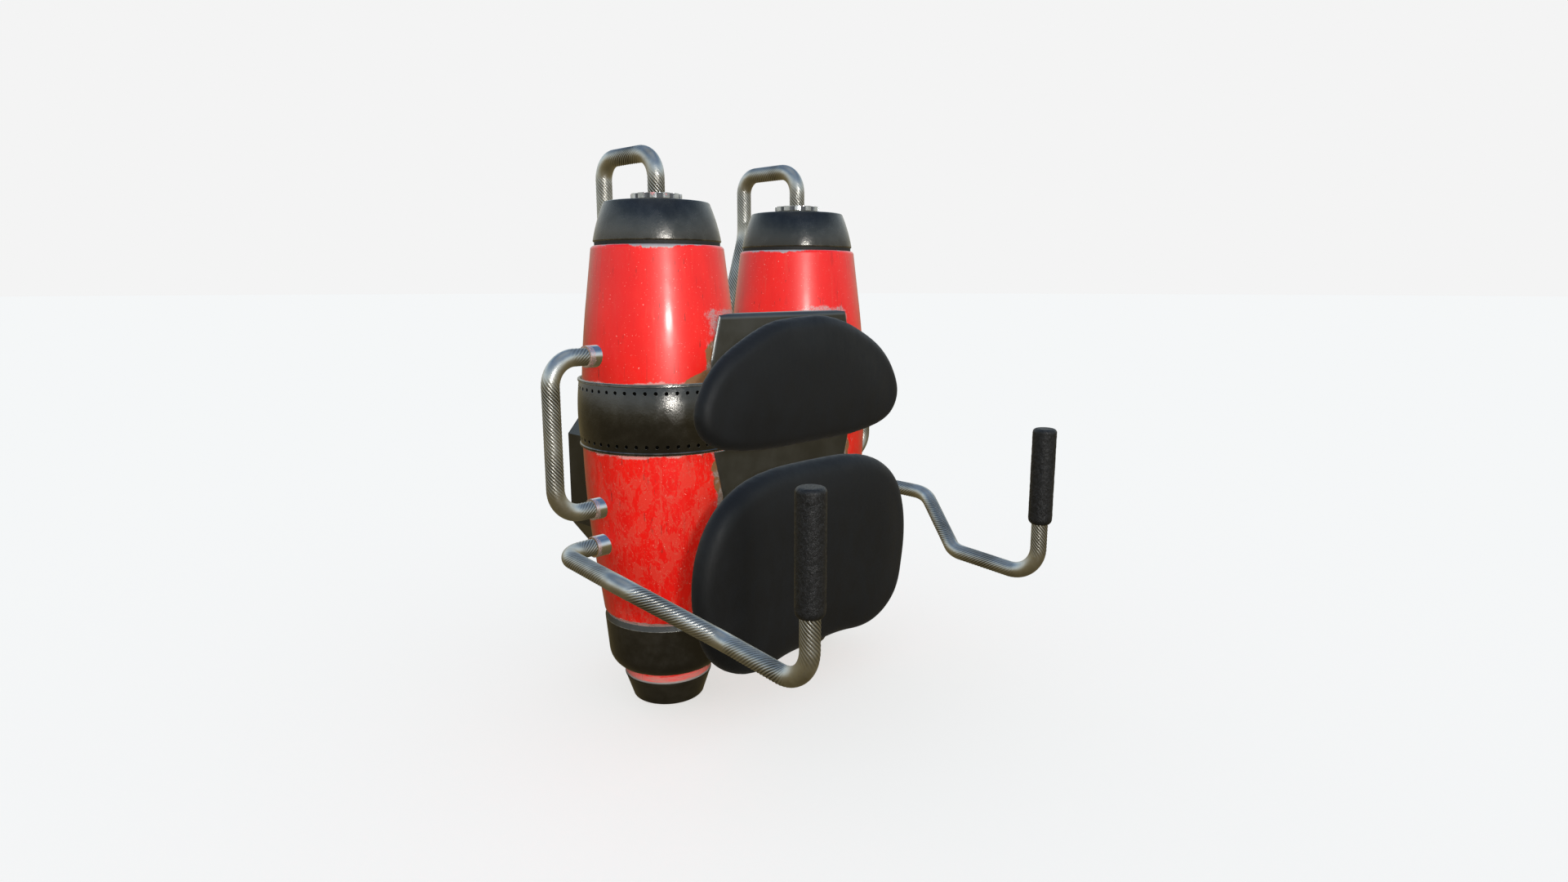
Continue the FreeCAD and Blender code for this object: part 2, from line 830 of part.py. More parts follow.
def pad_screws():
    screws = []
    back = -number(dim("plate_front")) + number(dim("plate_sheet"))
    for x, z in SCREW_SPOTS:
        for across in (-x, x):
            spot = Vector(across, back, z)
            head = Part.makeCylinder(5.0, 3.0, spot, Vector(0, 1, 0))
            shank = Part.makeCylinder(SCREW_RADIUS, 26.0, spot, Vector(0, -1, 0))
            screws.append(head.fuse(shank).removeSplitter())
    own_shape("pad_screws", Part.makeCompound(screws), 0.0, tank_y)


def pad_board(label, half_width, low, high, depth):
    """Stiff board behind a cushion, held by the pad screws."""
    body = new_body(label)
    clip = 26.0
    board = new_sketch(body, "XZ_Plane", dim("plate_front"))
    draw_outline(board, both_sides((
        (half_width - clip, high),
        (half_width, high - clip),
        (half_width, low + clip),
        (half_width - clip, low),
    )))
    for x, z in SCREW_SPOTS:
        if low < z < high:
            draw_circle(board, x, z, SCREW_RADIUS)
            draw_circle(board, -x, z, SCREW_RADIUS)
    extrude(body, board, depth)
    place(body, 0.0, tank_y, 0.0)


UPPER_PAD_EDGE = (
    (0, 619), (67, 614), (134, 589), (187, 556), (219, 515), (229, 478), (214, 446), (163, 424),
    (67, 416), (0, 416))
LOWER_PAD_EDGE = (
    (0, 396), (97, 393), (165, 375), (213, 337), (239, 284), (246, 222), (239, 172), (216, 118), (174, 86),
    (131, 75), (70, 79), (0, 80))


def cushion(label, edge, board_depth, depth, front_round, back_round):
    """Plain closed cushion: a smooth outline pulled forward from its board, with well rounded edges."""
    back = -number(dim("plate_front") + board_depth)
    depth = number(depth)
    spots = list(edge) + [(-x, z) for x, z in reversed(edge[1:-1])]
    curve = Part.BSplineCurve()
    curve.interpolate([Vector(x, back, z) for x, z in spots], PeriodicFlag=True)
    face = Part.Face(Part.Wire(curve.toShape()))
    block = face.extrude(Vector(0, -depth, 0))
    front_edges = [e for e in block.Edges if all(abs(v.Y - back + depth) < 0.01 for v in e.Vertexes)]
    block = block.makeFillet(front_round, front_edges)
    back_edges = [e for e in block.Edges if all(abs(v.Y - back) < 0.01 for v in e.Vertexes)]
    block = block.makeFillet(back_round, back_edges)
    own_shape(label, block, 0.0, tank_y)


# --- rear casing ----------------------------------------------------------------------------------

def casing_edge(inset):
    """Right half of the casing's eight-sided outline, top to bottom, drawn in by inset."""
    half = number(dim("casing_half_width"))
    top = number(dim("casing_top"))
    bottom = number(dim("casing_bottom"))
    return [
        (112.5 - inset * 0.7, top - inset),
        (half - inset, 415.0 - inset * 0.35),
        (half - inset, 262.0 + inset * 0.35),
        (115.0 - inset * 0.7, bottom + inset),
    ]


COVER_SCREW_SPOTS = ((96.0, 505.0), (189.5, 395.0), (189.5, 282.0), (98.0, 161.0))
COVER_SCREW_RADIUS = 2.5


def rear_casing():
    """Hollow casing behind the tanks, open at the back, hollowed in front to clear the tanks."""
    body = new_body("rear_casing")
    back = dim("casing_back")
    front = dim("casing_front")
    wall = number(dim("casing_wall"))
    outline = new_sketch(body, "XZ_Plane", -back)
    draw_outline(outline, both_sides(casing_edge(0.0)))
    extrude(body, outline, back - front)
    saddles = new_sketch(body, "XY_Plane")
    for side, sign in SIDES:
        draw_circle(saddles, tank_x(sign), 0.0, dim("tank_clearance_radius"))
    pocket(body, saddles, 700.0, backwards=True)
    wide = new_sketch(body, "XZ_Plane", -back)
    draw_outline(wide, both_sides(casing_edge(wall)))
    pocket(body, wide, back - dim("tank_clearance_radius") - wall, backwards=True)
    deep = new_sketch(body, "XZ_Plane", -back)
    draw_box(deep, -106.0, dim("casing_bottom") + wall, 106.0, dim("casing_top") - wall)
    pocket(body, deep, back - front - wall, backwards=True)
    ports = new_sketch(body, "XY_Plane", dim("casing_top") + 1.0)
    for sign in (-1, 1):
        across = dim("union_x") if sign > 0 else -dim("union_x")
        draw_circle(ports, across, dim("top_pipe_back"), dim("top_pipe_radius") + 0.3)
    pocket(body, ports, wall + 2.0)
    place(body, 0.0, tank_y, 0.0)


def casing_frame():
    """Screw frame inside the casing's back rim, with a blind hole for each cover screw."""
    body = new_body("cover_screw_frame")
    wall = number(dim("casing_wall"))
    depth = 8.0
    rim = new_sketch(body, "XZ_Plane", -dim("casing_back"))
    draw_outline(rim, both_sides(casing_edge(wall)))
    draw_outline(rim, both_sides(casing_edge(wall + 16.0)))
    for x, z in COVER_SCREW_SPOTS:
        draw_circle(rim, x, z, COVER_SCREW_RADIUS)
        draw_circle(rim, -x, z, COVER_SCREW_RADIUS)
    extrude(body, rim, depth)
    place(body, 0.0, tank_y, 0.0)


def rear_cover():
    """Bevelled lid over the casing's open back."""
    body = new_body("rear_cover")
    back = dim("casing_back")
    depth = dim("cover_depth")
    gasket = 1.0
    lid = new_sketch(body, "XZ_Plane", -back - depth)
    draw_outline(lid, both_sides(casing_edge(0.0)))
    pad = extrude(body, lid, depth - gasket)
    doc.recompute()
    rim_y = number(back + depth)
    dress_edges(body, "Chamfer", 3.0, pad, front_faces_edges(pad, rim_y))
    holes = new_sketch(body, "XZ_Plane", -back)
    for x, z in COVER_SCREW_SPOTS:
        draw_circle(holes, x, z, COVER_SCREW_RADIUS + 0.2)
        draw_circle(holes, -x, z, COVER_SCREW_RADIUS + 0.2)
    pocket(body, holes, depth + 1.0)
    place(body, 0.0, tank_y, 0.0)


def cover_gasket():
    body = new_body("cover_gasket")
    thickness = 1.0
    rim = new_sketch(body, "XZ_Plane", -dim("casing_back") - thickness)
    draw_outline(rim, both_sides(casing_edge(1.0)))
    draw_outline(rim, both_sides(casing_edge(number(dim("casing_wall")) + 16.0)))
    for x, z in COVER_SCREW_SPOTS:
        draw_circle(rim, x, z, COVER_SCREW_RADIUS + 0.2)
        draw_circle(rim, -x, z, COVER_SCREW_RADIUS + 0.2)
    extrude(body, rim, thickness)
    place(body, 0.0, tank_y, 0.0)


def cover_screws():
    screws = []
    seat = number(dim("casing_back")) + number(dim("cover_depth"))
    for x, z in COVER_SCREW_SPOTS:
        for across in (-x, x):
            spot = Vector(across, seat, z)
            head = Part.makeCylinder(4.6, 2.4, spot, Vector(0, 1, 0))
            slot = Part.makeBox(7.0, 1.4, 1.2, Vector(across - 3.5, seat + 1.2, z - 0.6))
            shank = Part.makeCylinder(COVER_SCREW_RADIUS, 12.0, spot, Vector(0, -1, 0))
            screws.append(head.fuse(shank).cut(slot).removeSplitter())
    own_shape("cover_screws", Part.makeCompound(screws), 0.0, tank_y)


def manifold_block():
    """Block inside the casing that joins the two top pipes and feeds the regulator."""
    body = new_body("manifold_block")
    top = dim("casing_top") - 19.0
    front = dim("casing_front") + 6.5
    plan = new_sketch(body, "XY_Plane", top - 34.0)
    draw_box(plan, -105.0, front, 105.0, front + 26.0)
    extrude(body, plan, 34.0)
    ports = new_sketch(body, "XY_Plane", top + 1.0)
    for sign in (-1, 1):
        across = dim("union_x") if sign > 0 else -dim("union_x")
        draw_circle(ports, across, dim("top_pipe_back"), 8.0)
    pocket(body, ports, 23.0)
    gallery = new_sketch(body, "YZ_Plane", -96.0)
    draw_circle(gallery, dim("top_pipe_back") - 1.0, top - 16.0, 5.0)
    pocket(body, gallery, 192.0, backwards=True)
    place(body, 0.0, tank_y, 0.0)


def regulator():
    """Pressure regulator that hangs under the manifold: bonnet, diaphragm flange and base."""
    top = dim("casing_top") - 19.0 - 34.0
    corners = [
        (0.0, top - 132.0),
        (16.0, top - 132.0),
        (24.0, top - 124.0),
        (24.0, top - 78.0),
        (31.0, top - 74.0),
        (31.0, top - 62.0),
        (26.0, top - 58.0),
        (26.0, top - 16.0),
        (14.0, top - 8.0),
        (14.0, top),
        (0.0, top),
    ]
    body = turned("regulator", corners)
    place(body, 0.0, tank_y + dim("casing_front") + 40.0, 0.0)


def pipe_union(side, sign):
    """Nut round the top pipe where it enters the casing."""
    body = new_body(side + "_pipe_union")
    ring = new_sketch(body, "XY_Plane", dim("casing_top"))
    corner_radius = 18.5
    corners = []
    for step in range(6):
        angle = math.radians(60 * step + 30)
        corners.append((corner_radius * math.cos(angle), corner_radius * math.sin(angle)))
    draw_outline(ring, corners)
    draw_circle(ring, 0.0, 0.0, dim("top_pipe_radius"))
    extrude(body, ring, 12.0)
    across = dim("union_x") if sign > 0 else -dim("union_x")
    place(body, across, tank_y + dim("top_pipe_back"), 0.0)


# --- assembly -------------------------------------------------------------------------------------

for side, sign in SIDES:
    tank_shell(side, sign)
    inner_cylinder(side, sign)
    foot_cap(side, sign)
    bottom_band(side, sign)
    middle_band(side, sign)
    cap_seal(side, sign)
    top_cap(side, sign)
    valve_body(side, sign)
    valve_wheel(side, sign)
    wheel_retainer(side, sign)
    top_pipe(side, sign)
    pipe_union(side, sign)
    side_loop(side, sign)
    collar(side + "_upper_loop_collar", sign, dim("side_pipe_high"), dim("side_pipe_radius"))
    collar(side + "_lower_loop_collar", sign, dim("side_pipe_low"), dim("side_pipe_radius"))
    collar(side + "_arm_collar", sign, dim("arm_z"), dim("arm_bush_radius"))
    arm_bush(side, sign)
    arm_clip(side, sign)
    arm_tube(side, sign)
    grip_sleeve(side, sign)
    hand_grip(side, sign)

back_plate()
for name, level in BEAM_LEVELS:
    cross_beam(name, level)
plate_bolts()
pad_screws()
pad_board("upper_pad_board", 102.0, 442.0, 578.0, dim("upper_board_depth"))
pad_board("lower_pad_board", 112.0, 130.0, 356.0, dim("lower_board_depth"))
cushion("upper_cushion", UPPER_PAD_EDGE, dim("upper_board_depth"), dim("upper_pad_depth"), 18.0, 14.0)
cushion("lower_cushion", LOWER_PAD_EDGE, dim("lower_board_depth"), dim("lower_pad_depth"), 22.0, 16.0)
rear_casing()
casing_frame()
rear_cover()
cover_gasket()
cover_screws()
manifold_block()
regulator()

doc.recompute()

for item in doc.Objects:
    if "Invalid" in item.State or "Error" in item.State:
        raise RuntimeError("%s failed: %s" % (item.Name, item.State))

sub_parts = [item for item in doc.Objects if item.TypeId in ("PartDesign::Body", "Part::Feature")]
os.makedirs("parts", exist_ok=True)
for item in sub_parts:
    if item.Shape.isNull() or not item.Shape.isValid() or item.Shape.Volume <= 0:
        raise RuntimeError("%s has no sound shape" % item.Label)
for item in sub_parts:
    item.Shape.exportStep("parts/%s.step" % item.Label)
print("sub-parts: %d" % len(sub_parts))
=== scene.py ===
"""Looks of the twin-tank back unit: materials, ribbed pipes, padded cushions, wrinkled grips, studio."""
import json
import math

import bmesh
import bpy
import numpy as np
from mathutils import Matrix, Vector, noise

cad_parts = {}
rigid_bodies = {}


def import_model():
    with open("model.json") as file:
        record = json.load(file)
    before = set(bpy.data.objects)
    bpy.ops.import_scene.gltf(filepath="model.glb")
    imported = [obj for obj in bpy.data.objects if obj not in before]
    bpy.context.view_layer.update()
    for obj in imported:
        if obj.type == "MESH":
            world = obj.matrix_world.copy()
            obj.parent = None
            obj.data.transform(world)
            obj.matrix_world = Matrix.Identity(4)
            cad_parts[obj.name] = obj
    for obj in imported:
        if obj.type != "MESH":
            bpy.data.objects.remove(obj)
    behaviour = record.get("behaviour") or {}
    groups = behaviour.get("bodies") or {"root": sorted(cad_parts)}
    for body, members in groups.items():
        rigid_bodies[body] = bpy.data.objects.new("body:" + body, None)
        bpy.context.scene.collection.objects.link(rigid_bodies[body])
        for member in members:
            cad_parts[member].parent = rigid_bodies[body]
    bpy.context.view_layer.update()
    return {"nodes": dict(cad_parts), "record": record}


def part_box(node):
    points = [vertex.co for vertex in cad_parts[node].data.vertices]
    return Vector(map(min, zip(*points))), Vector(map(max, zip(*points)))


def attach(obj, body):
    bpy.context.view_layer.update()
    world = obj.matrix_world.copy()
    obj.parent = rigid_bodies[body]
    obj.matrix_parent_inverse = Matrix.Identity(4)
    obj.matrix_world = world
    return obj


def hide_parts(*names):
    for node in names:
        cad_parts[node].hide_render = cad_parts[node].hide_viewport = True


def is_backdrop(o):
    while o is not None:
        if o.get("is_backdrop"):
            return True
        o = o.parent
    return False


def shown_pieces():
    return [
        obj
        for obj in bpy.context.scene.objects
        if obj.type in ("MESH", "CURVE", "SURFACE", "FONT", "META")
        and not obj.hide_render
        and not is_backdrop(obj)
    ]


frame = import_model()

MM = 0.001
RIB_PITCH = 5.6 * MM
RIB_HEIGHT = 0.95 * MM
PIPE_RADIUS = 13.0 * MM
HOLE_INSET = 13.0 * MM
SOCKET_RADIUS = 13.6 * MM
LOOP_BENDS = (0.040, 0.040)
CROWN_BENDS = (0.038, 0.032, 0.090, 0.060)
ARM_BENDS = (0.035, 0.057, 0.042, 0.047)
PAD_SWELL = 6.0 * MM
PAD_SCALE = (0.985, 0.93, 0.978)
SETTLE_FRAMES = 20
SMOOTH_PASSES = 30
SIDES = (("left", -1), ("right", 1))
NODES = frame["nodes"]


def middle(node):
    low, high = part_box(node)
    return (low + high) / 2


# --- places read from the frame -------------------------------------------------------------------

tank_axis = {side: middle(side + "_foot_cap") for side, sign in SIDES}
tank_y = tank_axis["left"].y
tank_x = tank_axis["right"].x
belt_low, belt_high = (corner.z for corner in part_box("left_middle_band"))
shell_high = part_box("left_tank_shell")[1].z
band_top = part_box("left_bottom_band")[1].z
plate_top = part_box("back_plate")[1].z
cap_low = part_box("left_top_cap")[0].z
wheel_low, wheel_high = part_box("left_valve_wheel")
wheel_radius = (wheel_high.y - wheel_low.y) / 2
wheel_top = wheel_high.z


# --- node helpers ---------------------------------------------------------------------------------

class Shader:
    """A material and short calls for its nodes; every call gives back an output socket."""

    def __init__(self, name):
        self.material = bpy.data.materials.new(name)
        self.material.use_nodes = True
        self.tree = self.material.node_tree
        self.surface = self.tree.nodes["Principled BSDF"]
        self.place = self.node("ShaderNodeTexCoord").outputs["Object"]

    def node(self, kind, **settings):
        made = self.tree.nodes.new(kind)
        for name, value in settings.items():
            setattr(made, name, value)
        return made

    def feed(self, socket, value):
        if isinstance(value, bpy.types.NodeSocket):
            self.tree.links.new(value, socket)
        elif isinstance(value, (tuple, list)) and len(value) == 3 and socket.type == "RGBA":
            socket.default_value = (*value, 1.0)
        else:
            socket.default_value = value

    def math(self, operation, a, b=0.0, c=0.0):
        made = self.node("ShaderNodeMath", operation=operation)
        for socket, value in zip(made.inputs, (a, b, c)):
            self.feed(socket, value)
        return made.outputs[0]

    def plus(self, a, b):
        return self.math("ADD", a, b)

    def minus(self, a, b):
        return self.math("SUBTRACT", a, b)

    def times(self, a, b):
        return self.math("MULTIPLY", a, b)

    def gap(self, a, b):
        """Distance between two values."""
        return self.math("ABSOLUTE", self.minus(a, b))

    def length(self, a, b):
        return self.math("SQRT", self.plus(self.math("POWER", a, 2.0), self.math("POWER", b, 2.0)))

    def axis(self, letter, vector=None):
        made = self.node("ShaderNodeSeparateXYZ")
        self.feed(made.inputs[0], self.place if vector is None else vector)
        return made.outputs["XYZ".index(letter)]

    def stretch(self, scale, vector=None):
        made = self.node("ShaderNodeVectorMath", operation="MULTIPLY")
        self.feed(made.inputs[0], self.place if vector is None else vector)
        made.inputs[1].default_value = scale
        return made.outputs[0]

    def noise(self, scale, detail=4.0, roughness=0.55, vector=None, distortion=0.0):
        made = self.node("ShaderNodeTexNoise")
        self.feed(made.inputs["Vector"], self.place if vector is None else vector)
        made.inputs["Scale"].default_value = scale
        made.inputs["Detail"].default_value = detail
        made.inputs["Roughness"].default_value = roughness
        made.inputs["Distortion"].default_value = distortion
        return made.outputs["Fac"]

    def cells(self, scale, feature="F1", vector=None):
        made = self.node("ShaderNodeTexVoronoi", feature=feature)
        self.feed(made.inputs["Vector"], self.place if vector is None else vector)
        made.inputs["Scale"].default_value = scale
        return made.outputs["Distance"]

    def step(self, value, low, high, to_low=0.0, to_high=1.0):
        made = self.node("ShaderNodeMapRange", interpolation_type="SMOOTHSTEP")
        self.feed(made.inputs["Value"], value)
        for name, amount in (("From Min", low), ("From Max", high), ("To Min", to_low), ("To Max", to_high)):
            made.inputs[name].default_value = amount
        return made.outputs[0]

    def mix(self, share, a, b, blend="MIX"):
        made = self.node("ShaderNodeMix", data_type="RGBA", blend_type=blend)
        self.feed(made.inputs["Factor"], share)
        self.feed(made.inputs["A"], a)
        self.feed(made.inputs["B"], b)
        return made.outputs["Result"]

    def blend_value(self, share, a, b):
        made = self.node("ShaderNodeMix", data_type="FLOAT")
        self.feed(made.inputs["Factor"], share)
        self.feed(made.inputs["A"], a)
        self.feed(made.inputs["B"], b)
        return made.outputs["Result"]

    def largest(self, *values):
        result = values[0]
        for value in values[1:]:
            result = self.math("MAXIMUM", result, value)
        return result

    def bump(self, height, strength, distance, normal=None):
        made = self.node("ShaderNodeBump")
        self.feed(made.inputs["Height"], height)
        made.inputs["Strength"].default_value = strength
        made.inputs["Distance"].default_value = distance
        if normal is not None:
            self.feed(made.inputs["Normal"], normal)
        return made.outputs["Normal"]

    def finish(self, **inputs):
        for name, value in inputs.items():
            self.feed(self.surface.inputs[name.replace("_", " ")], value)
        return self.material


# --- materials ------------------------------------------------------------------------------------

RED = (0.68, 0.0045, 0.0030)
WARM_RED = (0.78, 0.0075, 0.0040)
FADED_RED = (0.56, 0.088, 0.056)
DARK_RED = (0.36, 0.006, 0.005)
PALE_SPECK = (0.74, 0.30, 0.26)
PALE_CHIP = (0.62, 0.33, 0.30)
GREY_CHIP = (0.30, 0.25, 0.21)
DEEP_SCRATCH = (0.16, 0.020, 0.014)
PRIMER = (0.150, 0.068, 0.024)
PALE_PRIMER = (0.24, 0.115, 0.050)
BARE_STEEL = (0.42, 0.42, 0.43)
WARM_STEEL = (0.50, 0.43, 0.42)


def plate_distance(s):
    """Distance on the tank from the back plate's edge, in metres, on the tank's front."""
    across = s.math("ABSOLUTE", s.axis("X"))
    height = s.axis("Z")
    taper = s.step(height, 0.32, 0.45, 0.138, 0.158)
    slant = s.step(height, 0.54, 0.63, 0.0, 0.014)
    edge = s.minus(taper, slant)
    beside = s.math("MAXIMUM", s.minus(across, edge), 0.0)
    above = s.math("MAXIMUM", s.minus(height, plate_top), 0.0)
    behind = s.math("MAXIMUM", s.minus(s.axis("Y"), 0.035), 0.0)
    return s.plus(s.length(beside, above), behind)


def bump_at(s, value, centre, reach):
    """One at the centre, falling smoothly to nothing at reach on either side."""
    return s.step(s.gap(value, centre), 0.0, reach, 1.0, 0.0)


def off_tank_axis(s):
    """Distance across from the nearer tank's axis, outwards positive."""
    return s.minus(s.math("ABSOLUTE", s.axis("X")), tank_x)


def tank_radius(s):
    """Distance from the nearer tank's axis."""
    return s.length(off_tank_axis(s), s.minus(s.axis("Y"), tank_y))


def tank_paint():
    """Gloss red enamel, faded and blotched, worn through to primer and steel at rims and contacts, with a
    painted highlight line at the neck.
    """
    s = Shader("tank_paint")
    height = s.axis("Z")
    tall = s.stretch((1.0, 1.0, 0.45))
    streaky = s.stretch((1.0, 1.0, 0.05))
    coarse = s.noise(14.0, 3.0, vector=tall)
    medium = s.noise(60.0, 5.0, 0.6)
    grain = s.noise(420.0, 6.0, 0.7)
    # drips and blotches with paler outlines on the lower half, finer streaks and specks everywhere
    low_half = s.step(height, 0.40, 0.56, 1.0, 0.10)
    blotch = s.noise(62.0, 6.0, 0.66, vector=tall, distortion=0.7)
    second = s.noise(92.0, 5.0, 0.62, vector=tall, distortion=0.5)
    inside = s.step(blotch, 0.545, 0.565, 0.0, 0.36)
    outline = s.largest(bump_at(s, blotch, 0.545, 0.030),
                        s.times(bump_at(s, second, 0.50, 0.024), 0.8))
    broken = s.step(s.noise(230.0, 4.0, 0.7), 0.42, 0.55, 0.30, 1.0)
    weathered = s.times(low_half, s.step(off_tank_axis(s), -0.050, 0.030, 0.10, 0.80))
    faded = s.times(s.largest(inside, s.times(outline, broken)), weathered)
    streaks = s.step(s.noise(110.0, 5.0, 0.65, vector=streaky), 0.56, 0.70, 0.0, 0.22)
    specks = s.step(s.noise(400.0, 3.0, 0.55), 0.685, 0.715, 0.0, 0.9)
    dust = s.step(s.noise(150.0, 6.0, 0.78), 0.61, 0.70, 0.0, 0.50)
    fade = s.largest(faded, streaks, dust)
    red = s.mix(s.step(coarse, 0.35, 0.7), RED, WARM_RED)
    dark_streak = s.step(s.noise(150.0, 4.0, 0.6, vector=streaky), 0.60, 0.72, 0.0, 0.35)
    red = s.mix(dark_streak, red, DARK_RED)
    paint = s.mix(specks, s.mix(fade, red, FADED_RED), PALE_SPECK)
    # worn rims, and a painted highlight line at the neck's foot
    ragged = s.plus(s.times(s.minus(medium, 0.5), 0.012), s.times(s.minus(grain, 0.5), 0.010))
    wander = s.times(s.minus(coarse, 0.52), 0.030)
    top_edge = s.minus(s.minus(shell_high - 0.0015, height), s.plus(ragged, wander))
    top_wear = s.step(top_edge, -0.0005, 0.0015, 1.0, 0.0)
    from_band = s.minus(s.minus(height, band_top + 0.0048), s.times(ragged, 0.8))
    near_band = s.times(s.step(from_band, 0.0, 0.0022, 1.0, 0.0), s.math("GREATER_THAN", height, 0.12))
    band_wear = s.times(near_band, s.step(grain, 0.30, 0.50, 0.55, 1.0))
    neck_streak = s.noise(80.0, 6.0, 0.75, vector=s.stretch((0.5, 0.5, 5.0)))
    neck_edge = s.plus(height, s.times(s.minus(neck_streak, 0.5), 0.030))
    neck_wear = s.times(s.step(neck_edge, 0.052, 0.057, 1.0, 0.0),
                        s.step(neck_streak, 0.40, 0.62, 0.28, 0.75))
    # painted highlight: a thin band of bare steel at the neck's foot stands for a highlight line
    neck_highlight_line = s.step(height, 0.0442, 0.0450, 1.0, 0.0)
    belt_gap = s.math("MINIMUM", s.gap(height, belt_low), s.gap(height, belt_high))
    belt_wear = s.step(s.minus(belt_gap, s.plus(ragged, wander)), 0.001, 0.003, 0.7, 0.0)
    pale = s.largest(band_wear, neck_wear, belt_wear)
    # contact with the back plate: grey scuffs, then brown primer
    from_plate = plate_distance(s)
    contact = s.minus(from_plate, s.times(s.minus(s.noise(46.0, 5.0, 0.65), 0.5), 0.050))
    scuff_reach = s.largest(bump_at(s, height, 0.612, 0.045),
                            s.times(bump_at(s, height, 0.330, 0.075), 0.8))
    scuff = s.step(s.minus(contact, s.times(scuff_reach, 0.010)), -0.006, 0.0035, 1.0, 0.0)
    scuff = s.times(scuff, s.step(s.noise(520.0, 7.0, 0.8), 0.38, 0.60))
    wedge = s.largest(s.step(height, belt_high, belt_high + 0.030, 0.042, -0.012),
                      s.step(height, belt_high + 0.045, belt_high + 0.090, 0.008, -0.012))
    strip = s.step(height, belt_low - 0.03, belt_low, 0.009, -0.004)
    primer_reach = s.blend_value(s.step(height, belt_low, belt_high), strip, wedge)
    slow = s.times(s.minus(s.noise(28.0, 4.0, 0.6), 0.5), 0.030)
    bare = s.minus(s.minus(from_plate, primer_reach), slow)
    primer = s.step(bare, -0.0015, 0.0015, 1.0, 0.0)
    chip = s.mix(s.step(neck_streak, 0.45, 0.62), PALE_CHIP, GREY_CHIP)
    colour = s.mix(pale, paint, chip)
    colour = s.mix(primer, colour, s.mix(grain, PRIMER, PALE_PRIMER))
    # bare steel where the paint is worn, plus the painted highlight line at the neck's foot
    bare_steel_and_highlight = s.largest(top_wear, s.times(scuff, 0.9), neck_highlight_line)
    colour = s.mix(bare_steel_and_highlight, colour, s.mix(medium, BARE_STEEL, WARM_STEEL))
    worn = s.largest(bare_steel_and_highlight, primer, pale)
    gloss = s.step(s.largest(fade, s.times(medium, 0.6)), 0.1, 0.8, 0.30, 0.50)
    roughness = s.blend_value(worn, gloss, 0.55)
    metal = s.times(bare_steel_and_highlight, 0.65)
    thickness = s.minus(s.times(grain, 0.10), s.plus(worn, s.times(fade, 0.25)))
    ripple = s.bump(medium, 0.05, 0.002)
    normal = s.bump(thickness, 0.35, 0.0004, ripple)
    # short dark upright scratches, and a clear glaze wherever the paint is whole
    scratch = s.step(s.noise(210.0, 3.0, 0.55, vector=s.stretch((1.0, 1.0, 0.10))), 0.655, 0.685)
    scratch = s.times(scratch, s.step(s.noise(30.0, 3.0, 0.5), 0.45, 0.60))
    colour = s.mix(s.times(scratch, 0.75), colour, DEEP_SCRATCH)
    glaze = s.minus(1.0, s.largest(worn, scratch, specks, s.times(fade, 0.5)))
    return s.finish(Base_Color=colour, Roughness=roughness, Metallic=metal, Normal=normal,
                    Coat_Weight=s.times(glaze, 0.45), Coat_Roughness=0.13, Coat_IOR=1.42,
                    Coat_Normal=ripple, Specular_IOR_Level=0.40)


def cast_black(name, base, roughness, pitting):
    """Semi-gloss black metal on a finely pitted casting, dusty, with painted highlight lines on its edges
    and painted shade in its holes.
    """
    s = Shader(name)
    cloud = s.noise(9.0, 4.0)
    medium = s.noise(75.0, 5.0, 0.6)
    pits = s.noise(330.0, 4.0, 0.6)
    height = s.axis("Z")
    # painted shade: the blind holes of the belts are coloured near black and reflect nothing
    from_row = s.math("MINIMUM", s.gap(height, belt_low + HOLE_INSET), s.gap(height, belt_high - HOLE_INSET))
    in_row = s.math("LESS_THAN", from_row, 0.0034)
    hole_shade = s.times(in_row, s.step(tank_radius(s), 0.1257, 0.1261, 1.0, 0.0))
    dusty = tuple(channel * 1.6 + 0.004 for channel in base)
    colour = s.mix(s.step(s.plus(cloud, s.times(medium, 0.4)), 0.55, 0.95), base, dusty)
    rub = s.step(s.noise(210.0, 6.0, 0.75), 0.66, 0.74, 0.0, 0.30)
    colour = s.mix(rub, colour, (0.17, 0.165, 0.155))
    # painted highlight: thin light metal lines along the band bevel, belt lips and cap rim, broken up by
    # noise
    edges = (band_top - 0.0078, belt_low + 0.0006, belt_low + 0.0035,
             belt_high - 0.0035, belt_high - 0.0006, cap_low + 0.0012)
    edge_highlight_lines = s.largest(*(bump_at(s, height, edge, 0.0010) for edge in edges))
    rubbed = s.times(edge_highlight_lines, s.step(medium, 0.35, 0.60, 0.15, 0.60))
    colour = s.mix(rubbed, colour, (0.42, 0.40, 0.37))
    # painted shade: near black inside the holes
    colour = s.mix(hole_shade, colour, (0.002, 0.002, 0.002))
    cloudy = s.plus(medium, s.times(cloud, 0.5))
    rough = s.step(cloudy, 0.45, 1.05, roughness - 0.06, roughness + 0.10)
    rough = s.plus(rough, s.step(height, 0.20, 0.25, 0.12, 0.0))
    # the caps and belts catch the light as if they bowed out a little more at mid height
    belts_from, caps_from = 0.25, 0.62
    on_cap = s.math("GREATER_THAN", height, caps_from)
    on_belt = s.times(s.math("GREATER_THAN", height, belts_from), s.minus(1.0, on_cap))
    bow = s.plus(s.times(on_cap, 2.5), s.times(on_belt, 2.2))
    centre = s.blend_value(on_cap, (belt_low + belt_high) / 2, cap_low + 0.029)
    off_middle = s.minus(height, centre)
    swell = s.times(s.times(off_middle, off_middle), s.times(bow, -1.0))
    barrel = s.bump(swell, 1.0, 1.0)
    wave = s.bump(medium, 0.08, 0.003, barrel)
    normal = s.bump(pits, pitting, 0.0009, wave)
    # the holes also lose metal and specular reflection, as part of the painted shade
    solid = s.minus(1.0, hole_shade)
    return s.finish(Base_Color=colour, Roughness=rough, Normal=normal,
                    Metallic=s.times(solid, 0.94), Specular_IOR_Level=s.times(solid, 0.5))


